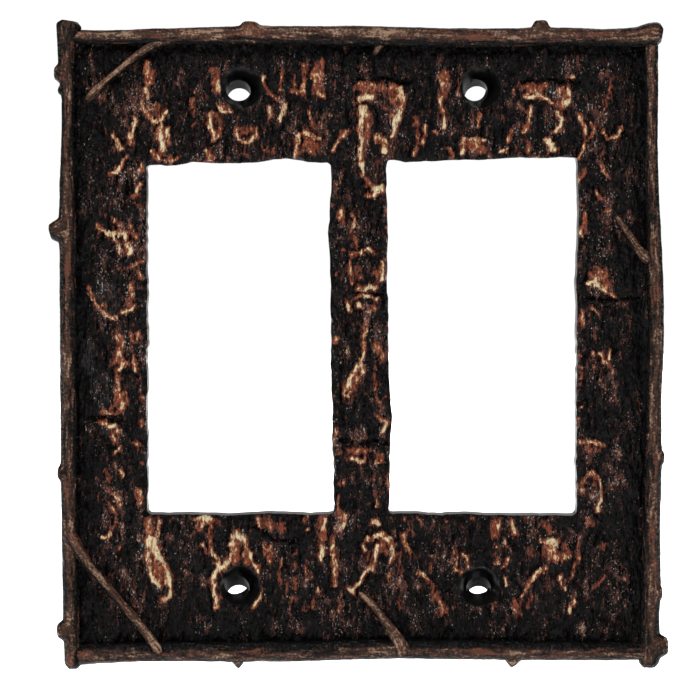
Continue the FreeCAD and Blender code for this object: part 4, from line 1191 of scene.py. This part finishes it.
@dataclass(frozen=True)
class BarkFinish:
    """Near-black brown lacquer with rust flakes, cream dry brushing and painted glints."""

    black: Colour = (0.0030, 0.0026, 0.0026)
    brown: Colour = (0.022, 0.0120, 0.0095)
    ember: Colour = (0.066, 0.0225, 0.0155)
    rust: Colour = (0.165, 0.040, 0.018)
    tan: Colour = (0.40, 0.250, 0.130)
    cream: Colour = (0.52, 0.45, 0.29)
    slate: Colour = (0.0165, 0.0155, 0.0150)
    # colour of the painted glints: pale specks that stand in for the lacquer's shine
    painted_glint: Colour = (0.36, 0.35, 0.33)
    side: Colour = (0.030, 0.0255, 0.0235)
    wall: Colour = (0.19, 0.178, 0.172)
    pit: Colour = (0.003, 0.003, 0.003)
    bump: float = 0.00009  # height of the finest relief, m
    shine: float = 0.055

    def make(self) -> bpy.types.Material:
        """Build the material."""
        shop = PaintShop("bark")
        place = shop.place()
        upright = shop.stretched(place, (1.0, 1.0, 0.5))
        cream, rust, plate, front, wear_and_frame_shade, sunk, bare = (
            shop.attribute(name) for name in ("cream", "rust", "plate", "front", "wear_and_frame_shade", "sunk", "bare"))
        broad = shop.patches(upright, 380.0, 1.0)
        blotch = shop.patches(upright, 1000.0, 3.0)
        grit = shop.patches(upright, 2300.0, 2.0)
        spark = shop.patches(shop.stretched(place, (1.0, 1.0, 0.55)), 3600.0, 1.0)
        hatch = shop.patches(shop.stretched(place, (2.4, 1.0, 0.5)), 1100.0, 1.0)
        pebble = shop.patches(upright, 1500.0, 1.0)
        drag = blotch * 0.55 + grit * 0.4
        # lacquer, with its plain plates and brown highlights on raised bark; beside the frame it stays
        # black, as painted shade
        base = shop.mix((drag + broad * 0.3 + wear_and_frame_shade * 0.4).step(-0.2, 1.1), self.black, self.brown)
        base = shop.mix((plate * 0.9 + hatch * 0.35 + drag * 0.3).step(0.5, 1.3), base, self.slate)
        loose = (drag * 0.7 + broad * 0.7 + hatch * 0.5 + wear_and_frame_shade * 0.5).step(0.5, 1.5)
        base = shop.mix(loose * (1 - plate * 0.8) * 0.9, base, self.ember)
        # dry brushing, from rust at a flake's edge to cream on its crest
        cover = cream * 1.06 + rust * (1 - cream) * 0.66 + drag * 0.40 + wear_and_frame_shade * 0.14
        base = shop.mix(cover.step(0.20, 0.46), base, self.ember)
        base = shop.mix(cover.step(0.42, 0.70), base, self.rust)
        base = shop.mix(cover.step(0.74, 0.98), base, self.tan)
        fleck = (drag + broad * 0.3 + wear_and_frame_shade * 0.35 + rust * 0.3).step(1.1, 1.6)
        base = shop.mix(fleck * 0.6, base, self.tan)
        light = cover.step(0.88, 1.16)
        base = shop.mix(light, base, self.cream)
        # painted glints: pale specks painted in for the gloss's sparkle, fewer beside the frame
        glint = spark * 1.1 + broad * 0.5 + wear_and_frame_shade * 0.4 + hatch * plate * 0.6
        base = shop.mix(glint.step(1.6, 2.3) * (1 - light) * 0.6, base, self.painted_glint)
        # sides and back, the openings' walls and the bores
        plain = shop.mix((blotch + grit + broad * 0.5).step(-3.0, 3.0), self.black, self.side)
        base = shop.mix(1 - front, base, plain)
        base = shop.mix(bare * (0.8 + blotch * 0.1), base, self.wall)
        base = shop.mix(sunk, base, self.pit)
        rough = 0.16 + (blotch * 0.03 + light * 0.3) * front + (1 - front) * 0.25
        relief = (pebble + grit * 0.3 + hatch * plate * 0.3) * front
        return shop.surface(Base_Color=base, Roughness=rough, Normal=shop.bump(relief, self.bump),
                            Specular_IOR_Level=self.shine)


@dataclass(frozen=True)
class WoodFinish:
    """Dark brown lacquered twig with tan dry brushing along the grain and pale knots; its lit side is
    painted paler and its shaded side darker.
    """

    dark: Colour = (0.0034, 0.0034, 0.0032)
    brown: Colour = (0.044, 0.0225, 0.0155)
    rust: Colour = (0.105, 0.0370, 0.0230)
    tan: Colour = (0.27, 0.175, 0.115)
    cream: Colour = (0.46, 0.33, 0.21)
    bump: float = 0.00006  # height of the finest relief, m
    shine: float = 0.06

    def make(self) -> bpy.types.Material:
        """Build the material."""
        shop = PaintShop("twig")
        lie, place = shop.lie(), shop.place()
        grain, knot, crest = shop.attribute("grain"), shop.attribute("knot"), shop.attribute("crest")
        streak = shop.patches(shop.stretched(lie, (3.0, 3.0, 300.0)), 1.0, 3.0)
        blotch = shop.patches(place, 700.0, 3.0)
        grit = shop.patches(place, 2200.0, 2.0)
        pebble = shop.patches(place, 1500.0, 1.0)
        vein = shop.patches(shop.stretched(lie, (1.4, 1.4, 160.0)), 1.0, 2.0)
        bare = shop.patches(shop.stretched(lie, (0.9, 0.9, 95.0)), 1.0, 2.0)
        # crest carries painted light: the lit side turns brown, rust and tan, the shaded side stays dark
        tone = crest * 2.0 + bare * 0.4 + blotch * 0.2 + streak * 0.35 + grit * 0.25
        base = shop.mix(tone.step(0.35, 1.8), self.dark, self.brown)
        warm = vein * 0.7 + streak * 0.4 + grit * 0.3 + crest * 1.0
        base = shop.mix(warm.step(0.8, 2.1) * 0.8, base, self.rust)
        dry = (crest * 1.5 + bare * 0.35 + grain * 0.4 + streak * 0.6 + grit * 0.45 + blotch * 0.2
               - vein * 0.3)
        base = shop.mix(dry.step(1.5, 2.8) * 0.85, base, self.tan)
        pale = (knot + grit * 0.45 + blotch * 0.35).step(0.9, 1.9)
        base = shop.mix(pale * 0.4, base, self.cream)
        rough = 0.18 + blotch * 0.03
        relief = streak * 0.5 + pebble
        return shop.surface(Base_Color=base, Roughness=rough, Normal=shop.bump(relief, self.bump),
                            Specular_IOR_Level=self.shine)


@dataclass(frozen=True)
class FloorFinish:
    """Plain pale floor."""

    colour: Colour = (0.55, 0.55, 0.55)

    def make(self) -> bpy.types.Material:
        """Build the material."""
        return PaintShop("floor").surface(Base_Color=(*self.colour, 1.0), Roughness=0.9)


TWIGS: tuple[Twig, ...] = (
    Twig("left_frame_twig",
         ((-55.6, -64.75, 0.9), (-55.6, -64.35, 1.45), (-55.6, -63.6, 1.65), (-55.7, -60.0, 1.65),
          (-56.0, -50.0, 1.62), (-56.1, -40.0, 1.65), (-56.15, -30.0, 1.60), (-56.15, -15.0, 1.65),
          (-56.15, 0.0, 1.65), (-56.1, 10.0, 1.65), (-56.05, 17.0, 1.70), (-56.1, 24.0, 1.70),
          (-56.1, 32.0, 1.45), (-55.95, 42.0, 1.25), (-55.85, 48.0, 1.30), (-56.1, 53.0, 1.50),
          (-56.1, 57.0, 1.85), (-55.75, 59.3, 2.25), (-55.6, 60.4, 2.45), (-55.5, 60.95, 2.2),
          (-55.45, 61.2, 1.5)),
         (Knot(-56.2, 51.2, 180, 1.7, 2.5), Knot(-56.2, 47.9, 180, 0.9, 1.7, dish=0.0),
          Knot(-56.3, 21.2, 192, 2.1, 3.6), Knot(-56.4, -26.3, 180, 1.6, 2.15),
          Knot(-56.0, -57.2, 183, 1.9, 2.9), Knot(-56.3, -26.3, 200, 0.7, 1.95, 50.0, 0.2)), lit_side_paleness=-0.15),
    Twig("top_frame_twig",
         ((-55.6, 58.3, 1.35), (-50.0, 58.1, 1.35), (-40.0, 58.2, 1.50), (-30.0, 58.3, 1.70),
          (-20.0, 58.4, 1.80), (-8.0, 58.4, 1.88), (3.0, 58.3, 1.92), (12.0, 58.1, 1.90),
          (20.0, 57.95, 1.85), (30.0, 58.0, 1.88), (40.0, 58.2, 1.70), (50.0, 57.95, 1.75),
          (54.0, 58.1, 2.0), (56.5, 58.5, 2.35), (57.9, 58.55, 2.35), (58.4, 58.5, 2.0),
          (58.7, 58.4, 1.3)),
         (Knot(-20.8, 58.6, 88, 1.9, 2.7), Knot(35.4, 58.4, 92, 1.6, 3.1))),
    Twig("right_frame_twig",
         ((57.0, -64.5, 1.2), (57.0, -64.1, 1.8), (57.0, -63.4, 2.0), (57.05, -60.0, 1.95),
          (57.1, -55.0, 1.9),
          (57.3, -45.0, 1.88), (57.3, -38.0, 1.85), (57.5, -30.0, 1.72), (57.55, -20.0, 1.65),
          (57.6, -10.0, 1.6),
          (57.95, 0.0, 1.58), (57.8, 8.0, 1.6), (57.5, 15.0, 1.55), (57.35, 20.0, 1.42),
          (56.95, 30.0, 1.3),
          (56.75, 40.0, 1.25), (56.7, 50.0, 1.3), (56.6, 57.5, 1.4)),
         (Knot(57.6, -23.3, 0, 1.6, 2.3), Knot(57.5, -49.8, 0, 1.8, 2.2), Knot(57.1, -60.4, 2, 2.2, 3.85),
          Knot(57.2, -22.6, 180, 0.8, 1.95, 62.0, 0.35)), lit_side_paleness=-0.15),
    Twig("bottom_frame_twig",
         ((-54.6, -62.1, 2.05), (-50.0, -61.8, 1.95), (-45.0, -61.55, 1.92), (-30.0, -61.45, 1.92),
          (-18.0, -61.4, 2.0), (-10.0, -61.35, 2.0), (0.0, -61.05, 2.0), (8.0, -60.95, 1.85),
          (16.0, -61.05, 1.9),
          (25.0, -61.05, 1.92), (35.0, -61.25, 1.88), (45.0, -61.35, 1.82), (56.2, -61.35, 1.7)),
         (Knot(-23.4, -61.5, 272, 1.5, 3.4, dish=0.0, point=0.9),
         Knot(30.6, -61.3, 262, 1.5, 3.4, dish=0.0, point=0.6)),
         lit=-14.0, lit_side_paleness=-0.3),
    Twig("top_left_shoot",
         ((-33.4, 57.9, 0.95), (-38.0, 57.2, 0.95), (-41.0, 55.6, 0.90), (-45.0, 52.6, 0.82),
          (-49.0, 49.3, 0.72),
          (-52.2, 46.1, 0.62), (-52.5, 45.8, 0.4)),
         (Knot(-38.4, 57.0, 255, 0.8, 1.15, 20.0, 0.0),),
         depth=0.0, lit_side_paleness=0.25, ring_gap=0.2, sides=32, grain_height=0.26),
    Twig("top_spur", ((5.6, 57.9, 0.9), (4.3, 56.6, 0.7), (3.3, 55.0, 0.38), (3.1, 54.7, 0.2)),
         depth=0.0, lit_side_paleness=0.25, ring_gap=0.18, sides=28, grain_height=0.2),
    Twig("right_shoot",
         ((57.6, 14.8, 0.95), (55.5, 15.8, 0.90), (54.3, 17.4, 0.80), (53.3, 19.0, 0.74),
          (52.2, 20.5, 0.68),
          (50.3, 23.2, 0.55), (50.1, 23.5, 0.35)),
         (Knot(55.6, 16.0, 60, 0.7, 1.2, 10.0, 0.0),),
         depth=0.0, lit_side_paleness=0.25, ring_gap=0.2, sides=32, grain_height=0.24),
    Twig("bottom_left_shoot",
         ((-56.2, -38.0, 1.4), (-54.9, -40.6, 1.35), (-52.8, -43.7, 1.15), (-50.0, -47.1, 1.0),
          (-46.1, -51.9, 0.98),
          (-42.3, -56.4, 1.02), (-39.1, -60.4, 1.05), (-38.6, -61.1, 0.95), (-38.5, -61.25, 0.7)),
         (Knot(-46.3, -52.0, 40, 0.8, 1.2, 30.0, 0.0), Knot(-38.7, -61.0, 300, 0.8, 0.9, 40.0, 0.3)),
         depth=0.0, lit_side_paleness=0.1, climb=(0.5, 1.7), ring_gap=0.2, sides=36, grain_height=0.28),
    Twig("bottom_shoot",
         ((9.3, -61.7, 1.7), (8.9, -60.9, 1.75), (8.1, -59.4, 1.5), (7.2, -57.9, 1.22),
          (6.2, -56.5, 1.05),
          (4.9, -54.7, 0.95), (3.5, -53.0, 0.92), (2.2, -51.6, 0.88), (0.9, -50.3, 0.78),
          (0.5, -49.9, 0.5)),
         (Knot(6.6, -57.6, 160, 0.8, 1.3, 20.0, 0.0),),
         depth=0.0, lit_side_paleness=0.25, ring_gap=0.2, sides=32, grain_height=0.26),
)


@dataclass
class Studio:
    """Camera, soft lights, pale floor and white surroundings."""

    target: Place = (-2.057, -7.5, -2.33)  # mm
    distance: float = 500.0  # mm
    elevation: float = 3.4  # degrees
    lens: float = 132.35
    sensor: float = 36.0
    clip: tuple[float, float] = (0.01, 20.0)
    floor_level: float = -0.100
    floor_radius: float = 1.6
    surround: float = 0.05  # strength of the glow that lights the plate
    backdrop: float = 1.02  # strength of the white behind it
    # name, place in metres, side in metres and power in watts; all aim at the plate
    lamps: tuple[tuple[str, Place, float, float], ...] = (
        ("key", (-0.25, -0.60, 0.80), 0.25, 7.4),
        ("left_fill", (-0.95, -0.40, 0.15), 0.25, 2.1),
        ("right_fill", (0.95, -0.45, 0.10), 0.25, 1.6),
        ("crown", (0.0, -0.20, 0.95), 0.30, 1.6),
        ("rear", (0.2, 0.9, 0.5), 0.6, 1.5),
    )
    # the floor's own lamp: its place and aim in metres, its side and its power
    wash: tuple[Place, Place, float, float] = ((0.0, 1.15, 1.5), (0.0, 1.15, -0.1), 1.7, 190.0)

    @staticmethod
    def stand(name: str, data: bpy.types.ID, place: Vector, facing: Vector) -> bpy.types.Object:
        """Put a camera or a lamp at a place, facing along a direction."""
        owner = put(name, data)
        owner.location = place
        owner.rotation_mode = "QUATERNION"
        owner.rotation_quaternion = facing.to_track_quat("-Z", "Y")
        return owner

    def camera(self) -> None:
        """Camera a little above the plate, looking straight at it."""
        data = bpy.data.cameras.new("camera")
        data.lens, data.sensor_width = self.lens, self.sensor
        data.clip_start, data.clip_end = self.clip
        lift = math.radians(self.elevation)
        back = Vector((0.0, -math.cos(lift), math.sin(lift)))
        place = (Vector(self.target) + back * self.distance) * MM
        bpy.context.scene.camera = self.stand("camera", data, place, -back)

    def lamp(self, name: str, place: Place, aim: Place, size: float, power: float) -> bpy.types.Object:
        """One square soft light, placed and aimed in metres."""
        data = bpy.data.lights.new(name, "AREA")
        data.shape, data.size, data.energy = "SQUARE", size, power
        return self.stand(name, data, Vector(place), Vector(aim) - Vector(place))

    def world(self) -> None:
        """White backdrop, with a softer glow for lighting."""
        world = bpy.data.worlds.new("surround")
        world.use_nodes = True
        world.node_tree.nodes.clear()
        wiring = Wiring(world.node_tree)
        white = (1.0, 1.0, 1.0, 1.0)
        glow, backdrop = (
            wiring.node("ShaderNodeBackground", None, Color=white, Strength=strength).outputs[0]
            for strength in (self.surround, self.backdrop))
        seen = wiring.node("ShaderNodeLightPath").outputs["Is Camera Ray"]
        mixed = wiring.node("ShaderNodeMixShader", None, i0=seen, i1=glow, i2=backdrop).outputs[0]
        wiring.node("ShaderNodeOutputWorld", None, Surface=mixed)
        bpy.context.scene.world = world

    def floor(self) -> bpy.types.Object:
        """Wide disc under the plate."""
        shell = bmesh.new()
        bmesh.ops.create_circle(shell, cap_ends=True, segments=96, radius=self.floor_radius)
        for vertex in shell.verts:
            vertex.co.z = self.floor_level
        mesh = bpy.data.meshes.new("floor")
        shell.to_mesh(mesh)
        shell.free()
        mesh.materials.append(FloorFinish().make())
        owner = put("floor", mesh)
        return owner

    def build(self) -> None:
        """Set up the whole studio; one more lamp lights the floor alone."""
        self.camera()
        self.world()
        floor = self.floor()
        for name, place, size, power in self.lamps:
            self.lamp(name, place, (0.0, 0.0, 0.0), size, power)
        wash = self.lamp("floor_wash", *self.wash)
        lit = bpy.data.collections.new("lit_by_floor_wash")
        lit.objects.link(floor)
        wash.light_linking.receiver_collection = lit
        bpy.context.scene.view_settings.view_transform = "Standard"


@dataclass
class WallPlate:
    """The whole plate: bark panel, frame twigs and shoots."""

    panel: BarkPanel = field(default_factory=BarkPanel)
    twigs: tuple[Twig, ...] = TWIGS
    first_seed: float = 10.0
    seed_step: float = 7.3

    def dress(self, piece: bpy.types.Object, node: str) -> None:
        """Tie a finished piece to the frame."""
        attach(piece, "root")
        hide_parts(node)
        LOG.info("%s: %d faces", node, len(piece.data.polygons))

    def build(self) -> None:
        """Make every piece."""
        bark, wood = BarkFinish().make(), WoodFinish().make()
        piece = self.panel.build()
        piece.data.materials.append(bark)
        self.dress(piece, self.panel.node)
        splinters = self.panel.splinters(piece, bark)
        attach(splinters, "root")
        LOG.info("bark_splinters: %d faces", len(splinters.data.polygons))
        nodes = RodNodes()
        for number, twig in enumerate(self.twigs):
            seed = self.first_seed + self.seed_step * number
            self.dress(twig.build(nodes, wood, seed), twig.node)


def main() -> None:
    """Load the frame, build the plate and the studio, and note the sizes."""
    logging.basicConfig(level=logging.INFO)
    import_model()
    WallPlate().build()
    Studio().build()


if __name__ == "__main__":
    main()
